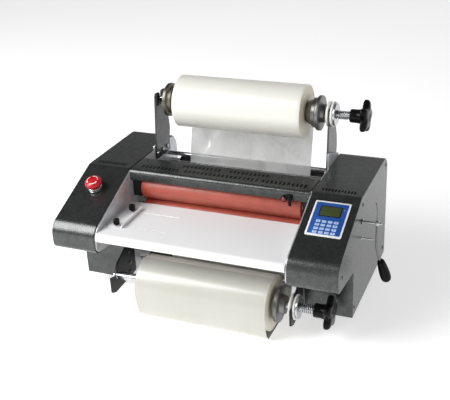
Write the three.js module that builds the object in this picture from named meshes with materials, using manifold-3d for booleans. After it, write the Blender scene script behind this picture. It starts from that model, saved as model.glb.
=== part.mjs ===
// Table-top two-sided roll laminator, in millimetres, +Z up.
// X runs from left to right, Y from the operator's side to the back, Z up from the table.
// Side outlines are drawn in the (y, z) plane and extruded along X.
import * as THREE from 'three';
import { mergeVertices, mergeGeometries } from 'three/addons/utils/BufferGeometryUtils.js';
import Module from 'manifold-3d';

const wasm = await Module();
wasm.setup();

// ---------------------------------------------------------------- driving dimensions
const GAP = 0.3;                 // clearance left between touching pieces
const FOOT_HEIGHT = 28;
const FOOT_R = 15;
const HOUSING_OUTER = 300;       // outer face of each side housing from the middle
const HOUSING_INNER = 202;
const SHELL = 2.5;               // housing sheet thickness
const TOP_Z = 266;
const REAR_Y = 198;
const FRONT_Y = -198;
const CREASE_Y = -30;            // where the flat top turns down into the sloped front
const SLOPE = THREE.MathUtils.degToRad(22.15);
const LEG_FRONT_Y = -86;
const NOSE_UNDER_Z = 132;

const PLATE_INNER = 198.7;       // side frame plates, between housings and rollers
const PLATE_OUTER = 201.7;
const BRACKET_INNER = 194.7;     // uprights and roll brackets, bolted inside the plates
const BRACKET_OUTER = 198.4;
const CROSS_SHEET = 2;           // base plate, rear cover and top cover

const NIP = { y: -5, z: 193 };   // where the two heated rollers touch
const ROLLER_R = 27;
const ROLLER_HALF = 177;
const ROLLER_JOURNAL_R = 15;
const ROLLER_BORE_R = 11;
const ROLLER_LIFT = 4;           // how far the pressure lever opens the nip
const PULL = { y: 170, r: 12, journal: 6 };
const UPPER_IDLER = { y: 133, z: 215, r: 7 };
const LOWER_IDLER = { y: -20, z: 44, r: 8 };
const IDLER_JOURNAL_R = 4;

const FILM_ROLL_R = 56.5;
const FILM_T = 0.5;
const CORE_BORE_R = 20;
const UPPER_MANDREL = { y: 122, z: 372, from: -140, to: 144.5 };
const LOWER_MANDREL = { y: -132, z: 63.5, from: -126, to: 154 };
const MANDREL_R = 6.5;
const LOWER_SLEEVE_R = 8.6;      // thicker part of the lower shaft, left of its roll

const TRAY_Z = 192.5;
const TRAY_T = 1.6;
const TRAY_REAR_Y = -36;
const TRAY_SLOT_Y = [-80.5, -148];
const GUIDE_KNOB_X = -175;

const GEAR_MODULE = 2;
const GEAR_TEETH = 27;
const PINION_TEETH = 12;
const PINION_ANGLE = THREE.MathUtils.degToRad(-50);

const LEVER = { y: -27, z: 214, armX: 330, shaftEnd: 339 };
const PANEL_X = 250.5;           // middle of each housing, where the controls sit

const LOWER_ROLLER_Z = NIP.z - ROLLER_R;
const UPPER_ROLLER_Z = NIP.z + ROLLER_R;

// ---------------------------------------------------------------- materials
const MATERIALS = {
  housing_paint: { color: 0x3b3c3c, roughness: 0.5, metalness: 0.3 },
  black_steel: { color: 0x17181a, roughness: 0.5, metalness: 0.4 },
  white_enamel: { color: 0xe9e9ec, roughness: 0.35, metalness: 0.1 },
  grey_steel: { color: 0x55575a, roughness: 0.45, metalness: 0.5 },
  silicone_red: { color: 0xc4604f, roughness: 0.6, metalness: 0 },
  zinc_steel: { color: 0xb8bac0, roughness: 0.3, metalness: 0.9 },
  film: { color: 0xeeeee4, roughness: 0.3, metalness: 0 },
  film_roll: { color: 0xf1f0e6, roughness: 0.35, metalness: 0 },
  black_plastic: { color: 0x101010, roughness: 0.35, metalness: 0 },
  white_plastic: { color: 0xe6e5e2, roughness: 0.4, metalness: 0 },
  rubber: { color: 0x1b1b1b, roughness: 0.9, metalness: 0 },
  red_plastic: { color: 0xb3121f, roughness: 0.3, metalness: 0 },
  keypad_blue: { color: 0x1f4c9a, roughness: 0.4, metalness: 0 },
  lcd: { color: 0x3f4a2c, roughness: 0.2, metalness: 0 },
  quartz: { color: 0xdedede, roughness: 0.2, metalness: 0 },
  board_green: { color: 0x1f5a34, roughness: 0.5, metalness: 0 },
};

const machine = new THREE.Group();

function add(name, geometry, slot) {
  const mesh = new THREE.Mesh(geometry, new THREE.MeshStandardMaterial(MATERIALS[slot]));
  mesh.name = name;
  machine.add(mesh);
}

// ---------------------------------------------------------------- solids and booleans
function toManifold(geometry) {
  const bare = geometry.clone();
  bare.deleteAttribute('normal');
  bare.deleteAttribute('uv');
  const merged = mergeVertices(bare, 1e-4);
  const mesh = new wasm.Mesh({
    numProp: 3,
    vertProperties: new Float32Array(merged.attributes.position.array),
    triVerts: new Uint32Array(merged.index.array),
  });
  mesh.merge();
  return new wasm.Manifold(mesh);
}

function toGeometry(manifold) {
  const mesh = manifold.getMesh();
  const geometry = new THREE.BufferGeometry();
  geometry.setAttribute('position', new THREE.BufferAttribute(new Float32Array(mesh.vertProperties), 3));
  geometry.setIndex(new THREE.BufferAttribute(new Uint32Array(mesh.triVerts), 1));
  geometry.computeVertexNormals();
  return geometry;
}

function cut(base, ...tools) {
  return toGeometry(tools.reduce((left, tool) => left.subtract(toManifold(tool)), toManifold(base)));
}

function join(...pieces) {
  return toGeometry(pieces.map(toManifold).reduce((whole, piece) => whole.add(piece)));
}

// ---------------------------------------------------------------- shape helpers
function box(x0, x1, y0, y1, z0, z1) {
  const geometry = new THREE.BoxGeometry(x1 - x0, y1 - y0, z1 - z0);
  return geometry.translate((x0 + x1) / 2, (y0 + y1) / 2, (z0 + z1) / 2);
}

function rodX(radius, x0, x1, y, z, sides = 20) {
  const geometry = new THREE.CylinderGeometry(radius, radius, x1 - x0, sides);
  return geometry.rotateZ(-Math.PI / 2).translate((x0 + x1) / 2, y, z);
}

function rodZ(radius, x, y, z0, z1, sides = 20) {
  const geometry = new THREE.CylinderGeometry(radius, radius, z1 - z0, sides);
  return geometry.rotateX(Math.PI / 2).translate(x, y, (z0 + z1) / 2);
}

// A turned piece: profile lists [distance along the axis, radius] and closes on itself or on the axis.
function turned(profile, sides) {
  const points = profile.map(([along, radius]) => new THREE.Vector2(radius, along));
  if (THREE.ShapeUtils.area(points) < 0) points.reverse();
  return new THREE.LatheGeometry(points, sides);
}

function turnedX(profile, y, z, sides = 24) {
  return turned(profile, sides).rotateZ(-Math.PI / 2).translate(0, y, z);
}

function turnedZ(profile, sides = 24) {
  return turned(profile, sides).rotateX(Math.PI / 2);
}

const YZ_TO_WORLD = new THREE.Matrix4().makeBasis(
  new THREE.Vector3(0, 1, 0), new THREE.Vector3(0, 0, 1), new THREE.Vector3(1, 0, 0));

function extrudeX(points, x0, x1, holes = []) {
  const shape = new THREE.Shape(points);
  shape.holes = holes.map((hole) => new THREE.Path(hole));
  const geometry = new THREE.ExtrudeGeometry(shape, { depth: x1 - x0, bevelEnabled: false });
  return geometry.applyMatrix4(YZ_TO_WORLD).translate(x0, 0, 0);
}

// A round hole's outline, drawn so that its flats, not its corners, lie at the radius.
function circlePoints(y, z, radius, sides = 20) {
  return arc(y, z, radius / Math.cos(Math.PI / sides), 0, 360, sides).slice(0, -1);
}

// Corners are [y, z, fillet radius]; each fillet becomes an arc of short segments.
function rounded(corners, stepDegrees = 15) {
  const points = [];
  corners.forEach(([y, z, radius = 0], i) => {
    const corner = new THREE.Vector2(y, z);
    const before = corners[(i + corners.length - 1) % corners.length];
    const after = corners[(i + 1) % corners.length];
    const back = new THREE.Vector2(before[0], before[1]).sub(corner).normalize();
    const ahead = new THREE.Vector2(after[0], after[1]).sub(corner).normalize();
    if (radius < 0.05) {
      points.push(corner);
      return;
    }
    const half = Math.acos(THREE.MathUtils.clamp(back.dot(ahead), -1, 1)) / 2;
    const start = corner.clone().addScaledVector(back, radius / Math.tan(half));
    const end = corner.clone().addScaledVector(ahead, radius / Math.tan(half));
    const middle = back.clone().add(ahead).normalize();
    const centre = corner.clone().addScaledVector(middle, radius / Math.sin(half));
    const sweep = Math.PI - 2 * half;
    const steps = Math.max(2, Math.ceil(THREE.MathUtils.radToDeg(sweep) / stepDegrees));
    const turn = Math.sign(start.clone().sub(centre).cross(end.clone().sub(centre)));
    for (let k = 0; k <= steps; k += 1) {
      points.push(start.clone().rotateAround(centre, (turn * sweep * k) / steps));
    }
  });
  return points;
}

// The same corners moved inwards by d; the list runs anticlockwise.
function inset(corners, d) {
  const lines = corners.map((corner, i) => {
    const next = corners[(i + 1) % corners.length];
    const along = new THREE.Vector2(next[0] - corner[0], next[1] - corner[1]).normalize();
    const inward = new THREE.Vector2(-along.y, along.x);
    return { at: new THREE.Vector2(corner[0], corner[1]).addScaledVector(inward, d), along };
  });
  return corners.map((corner, i) => {
    const a = lines[(i + lines.length - 1) % lines.length];
    const b = lines[i];
    const bend = a.along.cross(b.along);
    const t = b.at.clone().sub(a.at).cross(b.along) / bend;
    const point = a.at.clone().addScaledVector(a.along, t);
    const radius = Math.max(0, (corner[2] ?? 0) - d * Math.sign(bend));
    return [point.x, point.y, radius];
  });
}

// A bent sheet: the path is its outer face, and the sheet lies to the left of the path.
function sheet(path, thickness) {
  const inner = path.map((point, i) => {
    const from = path[Math.max(0, i - 1)];
    const to = path[Math.min(path.length - 1, i + 1)];
    const into = point.clone().sub(from);
    const out = to.clone().sub(point);
    const a = (i === 0 ? out : into).normalize();
    const b = (i === path.length - 1 ? a : out).normalize();
    const normal = new THREE.Vector2(-a.y - b.y, a.x + b.x).normalize();
    const spread = Math.max(0.3, normal.dot(new THREE.Vector2(-a.y, a.x)));
    return point.clone().addScaledVector(normal, thickness / spread);
  });
  return [...path, ...inner.reverse()];
}

function arc(y, z, radius, fromDegrees, toDegrees, steps) {
  return Array.from({ length: steps + 1 }, (_, k) => {
    const angle = THREE.MathUtils.degToRad(fromDegrees + ((toDegrees - fromDegrees) * k) / steps);
    return new THREE.Vector2(y + radius * Math.cos(angle), z + radius * Math.sin(angle));
  });
}

// ---------------------------------------------------------------- side housings
// Where the sloped front meets the upright face of the nose, before rounding.
const NOSE_TOP_Z = TOP_Z - (CREASE_Y - FRONT_Y) * Math.tan(SLOPE);

const HOUSING_OUTLINE = [
  [REAR_Y, FOOT_HEIGHT, 4],
  [REAR_Y, TOP_Z, 33],
  [CREASE_Y, TOP_Z, 14],
  [FRONT_Y, NOSE_TOP_Z, 32],
  [FRONT_Y, 146, 17],
  [LEG_FRONT_Y, NOSE_UNDER_Z, 5],
  [LEG_FRONT_Y, FOOT_HEIGHT, 2],
];

function slopeZ(y) {
  return TOP_Z - (CREASE_Y - y) * Math.tan(SLOPE);
}

// Turns a piece made round the origin so that +Z is the slope's outward normal, then moves it there.
function ontoSlope(geometry, x, y, lift = 0) {
  geometry.translate(0, 0, lift).rotateX(SLOPE);
  return geometry.translate(x, y, slopeZ(y));
}

function housingVents(side) {
  const slots = [];
  for (let i = 0; i < 11; i += 1) {
    const x = side * (PANEL_X + (i - 5) * 6.4);
    slots.push(box(x - 1.5, x + 1.5, -20, -7, TOP_Z - 8, TOP_Z + 5));
  }
  return mergeGeometries(slots);
}

function housingShell(side, ...cuts) {
  const outer = rounded(HOUSING_OUTLINE);
  const inner = rounded(inset(HOUSING_OUTLINE, SHELL));
  const x0 = side > 0 ? HOUSING_INNER : -HOUSING_OUTER;
  const x1 = side > 0 ? HOUSING_OUTER : -HOUSING_INNER;
  const hollow = side > 0
    ? extrudeX(inner, x0 - 1, x1 - SHELL)
    : extrudeX(inner, x0 + SHELL, x1 + 1);
  return cut(extrudeX(outer, x0, x1), hollow, housingVents(side), ...cuts);
}

const ESTOP_Y = -92;
const ESTOP_HOLE_R = 8;
const INLET = { halfX: 15, z0: 67, z1: 91, depth: 28, socketHalfX: 12, socketZ0: 71, socketZ1: 87 };
const ROCKER = { y: 188, z: 114, halfX: 10, halfZ: 9, tip: THREE.MathUtils.degToRad(9) };
add('left_housing_shell',
  housingShell(-1,
    ontoSlope(rodZ(ESTOP_HOLE_R, 0, 0, -10, 10), -PANEL_X, ESTOP_Y),
    box(-PANEL_X - INLET.halfX - GAP, -PANEL_X + INLET.halfX + GAP, 190, 205, INLET.z0 - GAP, INLET.z1 + GAP),
    box(-PANEL_X - ROCKER.halfX - 1, -PANEL_X + ROCKER.halfX + 1, 190, 205, ROCKER.z - 12, ROCKER.z + 12)),
  'housing_paint');
add('right_housing_shell',
  housingShell(1, rodX(3.6, 290, 310, LEVER.y, LEVER.z)),
  'housing_paint');

// ---------------------------------------------------------------- side frame plates
function bearingSlot(y, z, radius, lift) {
  const steps = 8;
  const corner = radius / Math.cos(Math.PI / (2 * steps));
  return [...arc(y, z, corner, 180, 360, steps), ...arc(y, z + lift, corner, 0, 180, steps)];
}

function framePlate(side, earTop) {
  const outline = rounded(inset(HOUSING_OUTLINE, 3));
  const x0 = side > 0 ? PLATE_INNER : -PLATE_OUTER;
  const x1 = x0 + PLATE_OUTER - PLATE_INNER;
  const holes = [
    bearingSlot(NIP.y, UPPER_ROLLER_Z, ROLLER_JOURNAL_R + GAP, ROLLER_LIFT),
    circlePoints(NIP.y, LOWER_ROLLER_Z, ROLLER_JOURNAL_R + GAP),
    circlePoints(PULL.y, NIP.z + PULL.r, PULL.journal + GAP, 16),
    circlePoints(PULL.y, NIP.z - PULL.r, PULL.journal + GAP, 16),
    circlePoints(UPPER_IDLER.y, UPPER_IDLER.z, IDLER_JOURNAL_R + GAP, 12),
    circlePoints(LOWER_IDLER.y, LOWER_IDLER.z, IDLER_JOURNAL_R + GAP, 12),
  ];
  const ear = [
    new THREE.Vector2(84, TOP_Z - 8), new THREE.Vector2(162, TOP_Z - 8),
    new THREE.Vector2(162, TOP_Z + 6), new THREE.Vector2(84, earTop),
  ];
  return join(extrudeX(outline, x0, x1, holes), extrudeX(ear, x0, x1));
}

add('left_frame_plate', framePlate(-1, TOP_Z + 6), 'zinc_steel');
add('right_frame_plate', framePlate(1, TOP_Z + 34), 'zinc_steel');

// ---------------------------------------------------------------- cross members and covers
function crossSheet(path) {
  const points = path.map(([y, z]) => new THREE.Vector2(y, z));
  return extrudeX(sheet(points, CROSS_SHEET), -PLATE_INNER + GAP, PLATE_INNER - GAP);
}

add('base_plate',
  crossSheet([[20, 42], [20, 31], [188, 31], [188, 42]]), 'black_steel');

add('rear_cover',
  crossSheet([[182, 44], [193, 44], [193, 148], [182, 152]]), 'housing_paint');

const SPREADER = { y: 152, z: 231, r: 5 };
add('spreader_bar',
  rodX(SPREADER.r, -PLATE_INNER + GAP, PLATE_INNER - GAP, SPREADER.y, SPREADER.z, 16), 'zinc_steel');

function ventRow(firstX, lastX, count, y) {
  const slots = [];
  for (let i = 0; i < count; i += 1) {
    const x = firstX + ((lastX - firstX) * i) / (count - 1);
    slots.push(box(x - 1.9, x + 1.9, y - 7, y + 7, TOP_Z - 8, TOP_Z + 5));
  }
  return slots;
}

function topCover() {
  const path = [
    new THREE.Vector2(34, TOP_Z - 12),
    ...arc(31, TOP_Z - 3, 3, 0, 90, 3),
    ...arc(-27, TOP_Z - 9, 9, 90, 180, 6),
    new THREE.Vector2(-36, TOP_Z - 23),
    new THREE.Vector2(-29, TOP_Z - 23),
  ];
  const body = extrudeX(sheet(path, CROSS_SHEET), -PLATE_INNER + GAP, PLATE_INNER - GAP);
  const slots = mergeGeometries([
    ...ventRow(-93, -13, 10, 13.5),
    ...ventRow(13, 93, 10, 13.5),
    ...ventRow(-178, -98, 10, -10.5),
    ...ventRow(-79, 79, 18, -10.5),
    ...ventRow(93, 182, 11, -10.5),
  ]);
  return cut(body, slots);
}

add('top_cover', topCover(), 'housing_paint');

function feedTray() {
  const noseR = 10;
  const noseY = FRONT_Y + noseR;
  const path = [
    new THREE.Vector2(TRAY_REAR_Y, TRAY_Z),
    ...arc(noseY, TRAY_Z - noseR, noseR, 90, 270, 12),
    new THREE.Vector2(-166, TRAY_Z - 2 * noseR),
    new THREE.Vector2(-166, TRAY_Z - 2 * noseR + 8),
  ];
  const body = extrudeX(sheet(path, TRAY_T), -PLATE_INNER + GAP, PLATE_INNER - GAP);
  const slots = TRAY_SLOT_Y.map((y) => box(-186, -66, y - 1.6, y + 1.6, TRAY_Z - 6, TRAY_Z + 5));
  return cut(body, ...slots);
}

add('feed_tray', feedTray(), 'white_enamel');

// ---------------------------------------------------------------- roll stands
function uprightOutline() {
  const { y, z } = UPPER_MANDREL;
  const slot = 9;
  const top = z + 16;
  return [
    ...rounded([[88, 240, 3], [154, 240, 3], [154, 266, 12], [160, 292, 18], [157, 318, 18], [144, 350, 18],
      [y + 20, top, 5], [y + slot, top, 5], [y + slot, z, 0], [y - slot, z, 0],
      [y - slot, top, 5], [y - 20, top, 5], [88, 266, 30]]),
  ];
}

function uprightPlate(side) {
  const { y, z } = UPPER_MANDREL;
  const x0 = side > 0 ? BRACKET_INNER : -BRACKET_OUTER;
  const x1 = x0 + BRACKET_OUTER - BRACKET_INNER;
  return cut(extrudeX(uprightOutline(), x0, x1), rodX(9, x0 - 1, x1 + 1, y, z, 24));
}

add('left_upright', uprightPlate(-1), 'grey_steel');
add('right_upright', uprightPlate(1), 'grey_steel');

function lowerBracket(side) {
  const { y, z } = LOWER_MANDREL;
  const x0 = side > 0 ? BRACKET_INNER : -BRACKET_OUTER;
  const x1 = x0 + BRACKET_OUTER - BRACKET_INNER;
  const outline = rounded([
    [-56, 34, 3], [-56, 122, 4], [-92, 108, 6], [-133, 89, 4], [-137, 78, 2], [y - 4, z, 0],
    [y - 17, 68, 2], [y - 30, 72, 2], [y - 30, 36, 3], [y - 16, 30, 3],
  ]);
  return cut(extrudeX(outline, x0, x1), rodX(9, x0 - 1, x1 + 1, y, z, 24));
}

add('left_lower_bracket', lowerBracket(-1), 'black_steel');
add('right_lower_bracket', lowerBracket(1), 'black_steel');

// ---------------------------------------------------------------- feet
for (const [end, y] of [['front', -12], ['rear', 165]]) {
  for (const [side, x] of [['left', -255], ['right', 255]]) {
    add(`foot_${end}_${side}`, rodZ(FOOT_R, x, y, 0, FOOT_HEIGHT - GAP), 'rubber');
  }
}

// ---------------------------------------------------------------- heated rollers and their bearings
function heatedRoller(z) {
  const end = PLATE_OUTER + 14;
  const profile = [
    [-end, ROLLER_BORE_R], [end, ROLLER_BORE_R], [end, ROLLER_JOURNAL_R], [ROLLER_HALF, ROLLER_JOURNAL_R],
    [ROLLER_HALF, ROLLER_R], [-ROLLER_HALF, ROLLER_R], [-ROLLER_HALF, ROLLER_JOURNAL_R],
    [-end, ROLLER_JOURNAL_R], [-end, ROLLER_BORE_R],
  ];
  return turnedX(profile, NIP.y, z, 30);
}

add('upper_heating_roller', heatedRoller(UPPER_ROLLER_Z + GAP / 2), 'silicone_red');
add('lower_heating_roller', heatedRoller(LOWER_ROLLER_Z - GAP / 2), 'silicone_red');
const HEATER = { r: 5, half: 224 };
for (const [level, z] of [['upper', UPPER_ROLLER_Z + GAP / 2], ['lower', LOWER_ROLLER_Z - GAP / 2]]) {
  add(`${level}_heater_tube`, rodX(HEATER.r, -HEATER.half, HEATER.half, NIP.y, z, 12), 'quartz');
}

function bearingSlide(side) {
  const x0 = side > 0 ? 180 : -PLATE_INNER + GAP;
  const x1 = side > 0 ? PLATE_INNER - GAP : -180;
  const z = UPPER_ROLLER_Z + GAP / 2;
  const half = 21;
  const outline = rounded([
    [NIP.y + half, z - 19, 2], [NIP.y + half, z + 21, 4],
    [NIP.y - half, z + 21, 4], [NIP.y - half, z - 19, 2],
  ]);
  return extrudeX(outline, x0, x1, [circlePoints(NIP.y, z, ROLLER_JOURNAL_R + GAP)]);
}

add('left_bearing_slide', bearingSlide(-1), 'black_steel');
add('right_bearing_slide', bearingSlide(1), 'black_steel');

// ---------------------------------------------------------------- pull rollers and film guides
function plainRoller(radius, half, journal, y, z, endX, sides) {
  return turnedX([
    [-PLATE_OUTER, 0], [endX, 0], [endX, journal], [half, journal], [half, radius], [-half, radius],
    [-half, journal], [-PLATE_OUTER, journal], [-PLATE_OUTER, 0],
  ], y, z, sides);
}

const SPROCKET_R = 10;
const SPROCKET_X = [217, 223];
const PULL_SHAFT_END = 226;      // the driven pull roller runs on through the plate to its sprocket

function pullRoller(z, endX) {
  return plainRoller(PULL.r - GAP / 2, ROLLER_HALF, PULL.journal, PULL.y, z, endX, 20);
}

add('upper_pull_roller', pullRoller(NIP.z + PULL.r, PLATE_OUTER), 'rubber');
add('lower_pull_roller',
  join(pullRoller(NIP.z - PULL.r, PULL_SHAFT_END),
    rodX(SPROCKET_R, ...SPROCKET_X, PULL.y, NIP.z - PULL.r, 16)), 'rubber');

const IDLER_HALF = 190;
for (const [level, { y, z, r }] of [['upper', UPPER_IDLER], ['lower', LOWER_IDLER]]) {
  const roller = plainRoller(r, IDLER_HALF, IDLER_JOURNAL_R, y, z, PLATE_OUTER, 14);
  add(`${level}_idler_roller`, roller, 'zinc_steel');
}

// ---------------------------------------------------------------- gears, chain and motor
// Tooth centres sit at phase + k * pitch; the flanks leave running clearance.
function gear(teeth, phase, x0, x1, y, z, boreR) {
  const pitchR = (GEAR_MODULE * teeth) / 2;
  const rootR = pitchR - 1.25 * GEAR_MODULE;
  const tipR = pitchR + 0.8 * GEAR_MODULE;
  const pitch = (2 * Math.PI) / teeth;
  const points = [];
  for (let i = 0; i < teeth; i += 1) {
    const centre = phase + i * pitch;
    for (const [offset, radius] of [[-0.27, rootR], [-0.1, tipR], [0.1, tipR], [0.27, rootR]]) {
      const angle = centre + offset * pitch;
      points.push(new THREE.Vector2(y + radius * Math.cos(angle), z + radius * Math.sin(angle)));
    }
  }
  return extrudeX(points, x0, x1, [circlePoints(y, z, boreR, 20)]);
}

const GEAR_X = [204, 212];
const UP = Math.PI / 2;
const GEAR_PITCH = (2 * Math.PI) / GEAR_TEETH;

function rollerGear(phase, z) {
  return gear(GEAR_TEETH, phase, ...GEAR_X, NIP.y, z, ROLLER_JOURNAL_R + GAP);
}

add('lower_roller_gear', rollerGear(UP, LOWER_ROLLER_Z - GAP / 2), 'grey_steel');
add('upper_roller_gear', rollerGear(-UP + GEAR_PITCH / 2, UPPER_ROLLER_Z + GAP / 2), 'grey_steel');

const PINION_DISTANCE = (GEAR_MODULE * (GEAR_TEETH + PINION_TEETH)) / 2 + GAP;
const PINION = {
  y: NIP.y + PINION_DISTANCE * Math.cos(PINION_ANGLE),
  z: LOWER_ROLLER_Z - GAP / 2 + PINION_DISTANCE * Math.sin(PINION_ANGLE),
};
add('motor_pinion',
  gear(PINION_TEETH, PINION_ANGLE + Math.PI, ...GEAR_X, PINION.y, PINION.z, 4 + GAP), 'zinc_steel');

// Gearbox with its output shaft, the round motor behind it, and two posts that bolt to the frame plate.
function gearMotor() {
  const { y, z } = PINION;
  const posts = [-20, 20].map((dy) => rodX(4, PLATE_OUTER + GAP, 226, y + dy, z - 25, 10));
  return join(
    rodX(4, 203, 225, y, z, 12),
    box(224, 246, y - 26, y + 26, z - 30, z + 8),
    rodX(24, 245, 292, y, z - 12, 24),
    ...posts);
}

add('gear_motor', gearMotor(), 'grey_steel');

// The chain runs round the roller's end and the pull roller's sprocket.
function chainLoop(clearance) {
  const a = new THREE.Vector2(NIP.y, LOWER_ROLLER_Z - GAP / 2);
  const b = new THREE.Vector2(PULL.y, NIP.z - PULL.r);
  const lean = THREE.MathUtils.radToDeg(b.clone().sub(a).angle());
  return [
    ...arc(a.x, a.y, ROLLER_JOURNAL_R + clearance, lean + 90, lean + 270, 14),
    ...arc(b.x, b.y, SPROCKET_R + clearance, lean - 90, lean + 90, 14),
  ];
}

add('drive_chain', extrudeX(chainLoop(4.4), 213, 215.4, [chainLoop(0.4)]), 'grey_steel');

// ---------------------------------------------------------------- electrics
const BOARD_X = [-236, -232];
add('control_board', box(...BOARD_X, -60, 120, 50, 200), 'board_green');

function powerInlet() {
  const { halfX, z0, z1, depth, socketHalfX, socketZ0, socketZ1 } = INLET;
  return cut(
    box(-PANEL_X - halfX, -PANEL_X + halfX, REAR_Y - depth, REAR_Y, z0, z1),
    box(-PANEL_X - socketHalfX, -PANEL_X + socketHalfX, REAR_Y - 15, REAR_Y + 1, socketZ0, socketZ1));
}

add('power_inlet', powerInlet(), 'black_plastic');

// The rocker is drawn tipped to its off position; its pivot lies along X.
function powerSwitch() {
  const { halfX, halfZ, tip, y, z } = ROCKER;
  return box(-halfX, halfX, -10, 7.5, -halfZ, halfZ).rotateX(tip).translate(-PANEL_X, y, z);
}

add('power_switch', powerSwitch(), 'black_plastic');

// ---------------------------------------------------------------- controls on the slopes
const PANEL_Y = -90;
add('membrane_keypad',
  ontoSlope(box(-35, 35, -43.5, 43.5, GAP, GAP + 1.2), PANEL_X, PANEL_Y), 'keypad_blue');
add('lcd_window',
  ontoSlope(box(-21.5, 21.5, -13.5, 13.5, 2 * GAP + 1.2, 2 * GAP + 2.2), PANEL_X, PANEL_Y + 18), 'lcd');

const ESTOP_TRAVEL = 4;
const COLLAR_TOP = 9.5;
const HEAD_UNDER = COLLAR_TOP + ESTOP_TRAVEL + GAP;
add('estop_collar',
  ontoSlope(turnedZ([[GAP, 7], [GAP, 14.5], [8, 14.5], [COLLAR_TOP, 12.5], [COLLAR_TOP, 7], [GAP, 7]]),
    -PANEL_X, ESTOP_Y), 'zinc_steel');
add('estop_head',
  ontoSlope(turnedZ([
    [-24, 0], [-24, 6.4], [HEAD_UNDER, 6.4], [HEAD_UNDER, 17], [16, 18], [19, 18], [23.5, 16], [26, 11],
    [26.5, 0],
  ]), -PANEL_X, ESTOP_Y), 'red_plastic');

// ---------------------------------------------------------------- pressure lever
function leverArm() {
  const { y, z, armX } = LEVER;
  const half = 4.5;
  const bar = new THREE.Shape([
    new THREE.Vector2(armX - 2, z), new THREE.Vector2(armX - 2, 166), new THREE.Vector2(333.5, 143),
    new THREE.Vector2(336.5, 136), new THREE.Vector2(340.5, 137), new THREE.Vector2(337.5, 144),
    new THREE.Vector2(armX + 2, 166), new THREE.Vector2(armX + 2, z),
  ]);
  const strip = new THREE.ExtrudeGeometry(bar, { depth: 2 * half, bevelEnabled: false });
  strip.rotateX(Math.PI / 2).translate(0, y + half, 0);
  return join(
    rodX(3, 224, LEVER.shaftEnd, y, z, 12),
    rodX(8, armX - 2, armX + 2, y, z, 16),
    rodX(11, 226, 234, y + 4, z, 16),
    strip);
}

add('pressure_lever_arm', leverArm(), 'zinc_steel');

function leverGrip() {
  const profile = [
    [0, 0], [0, 5.2], [-3, 6.4], [-20, 8.2], [-38, 9.8], [-44, 9.6], [-49, 7.6], [-51.6, 4], [-52.2, 0],
  ];
  const lean = THREE.MathUtils.degToRad(18.5);
  const grip = turnedZ(profile, 18);
  grip.rotateY(-lean);
  return grip.translate(338.4, LEVER.y, 135.6);
}

add('pressure_lever_grip', leverGrip(), 'black_plastic');

// ---------------------------------------------------------------- paper side guide
function sideGuide() {
  const z = TRAY_Z + GAP;
  const flange = box(-190, -158, -157, -66, z, z + 1.6);
  const lip = box(-159.6, -158, -157, -66, z, z + 8);
  const holes = TRAY_SLOT_Y.map((y) => rodZ(1.6, GUIDE_KNOB_X, y, z - 1, z + 3, 12));
  return cut(join(flange, lip), ...holes);
}

add('side_guide', sideGuide(), 'white_enamel');

function guideKnob(y) {
  const base = TRAY_Z + 2 * GAP + 1.6;
  return join(
    rodZ(6.5, GUIDE_KNOB_X, y, base, base + 13, 20),
    rodZ(1.3, GUIDE_KNOB_X, y, TRAY_Z - 12, base + 1, 12),
    rodZ(4.5, GUIDE_KNOB_X, y, TRAY_Z - 7, TRAY_Z - TRAY_T - GAP, 12));
}

add('guide_knob_rear', guideKnob(TRAY_SLOT_Y[0]), 'black_plastic');
add('guide_knob_front', guideKnob(TRAY_SLOT_Y[1]), 'black_plastic');

// ---------------------------------------------------------------- film supply mandrels
function filmRoll({ y, z, from, to }) {
  return turnedX([
    [from, CORE_BORE_R], [to, CORE_BORE_R], [to, FILM_ROLL_R - 1], [to - 1, FILM_ROLL_R],
    [from + 1, FILM_ROLL_R], [from, FILM_ROLL_R - 1], [from, CORE_BORE_R],
  ], y, z, 36);
}

// A stepped cone that plugs the roll's core; x0 is the face against the roll, side the way it widens.
function chuck({ y, z }, x0, side, steps) {
  const outer = [[-12, 17], [GAP, 18.5], ...steps];
  const last = steps[steps.length - 1][0];
  const bore = MANDREL_R + GAP;
  const loop = [[-12, bore], ...outer, [last, bore], [-12, bore]];
  return turnedX(loop.map(([d, r]) => [x0 + side * d, r]), y, z, 22);
}

const WIDE_CHUCK = [
  [6, 19], [7, 25], [15, 26], [16, 31], [23, 31], [25, 36.5], [32, 36.5], [32, 20], [40, 18],
];
const NEAR_CHUCK = [[3, 19], [4, 31], [8, 32], [10, 36.5], [16, 36.5], [16, 20], [26, 18]];
const SMALL_CHUCK = [[2, 19], [2, 23], [7, 23]];

function starKnob({ y, z }) {
  const lobes = [];
  const steps = 40;
  for (let i = 0; i < steps; i += 1) {
    const angle = (2 * Math.PI * i) / steps;
    const radius = 29.5 + 5.5 * Math.cos(5 * angle);
    lobes.push(new THREE.Vector2(y + radius * Math.cos(angle), z + radius * Math.sin(angle)));
  }
  return cut(
    join(rodX(14, 236, 262, y, z, 20), extrudeX(lobes, 261, 275.5)),
    rodX(MANDREL_R + GAP, 235, 266, y, z, 16));
}

function bearingCollar({ y, z }) {
  const bore = MANDREL_R + GAP;
  return turnedX([
    [189.5, bore], [189.5, 24.5], [190.5, 26], [194.2, 26], [194.2, 8.6], [198.9, 8.6], [198.9, 26],
    [203, 26], [203, 23.5], [208, 23.5], [208, bore], [189.5, bore],
  ], y, z, 20);
}

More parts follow.
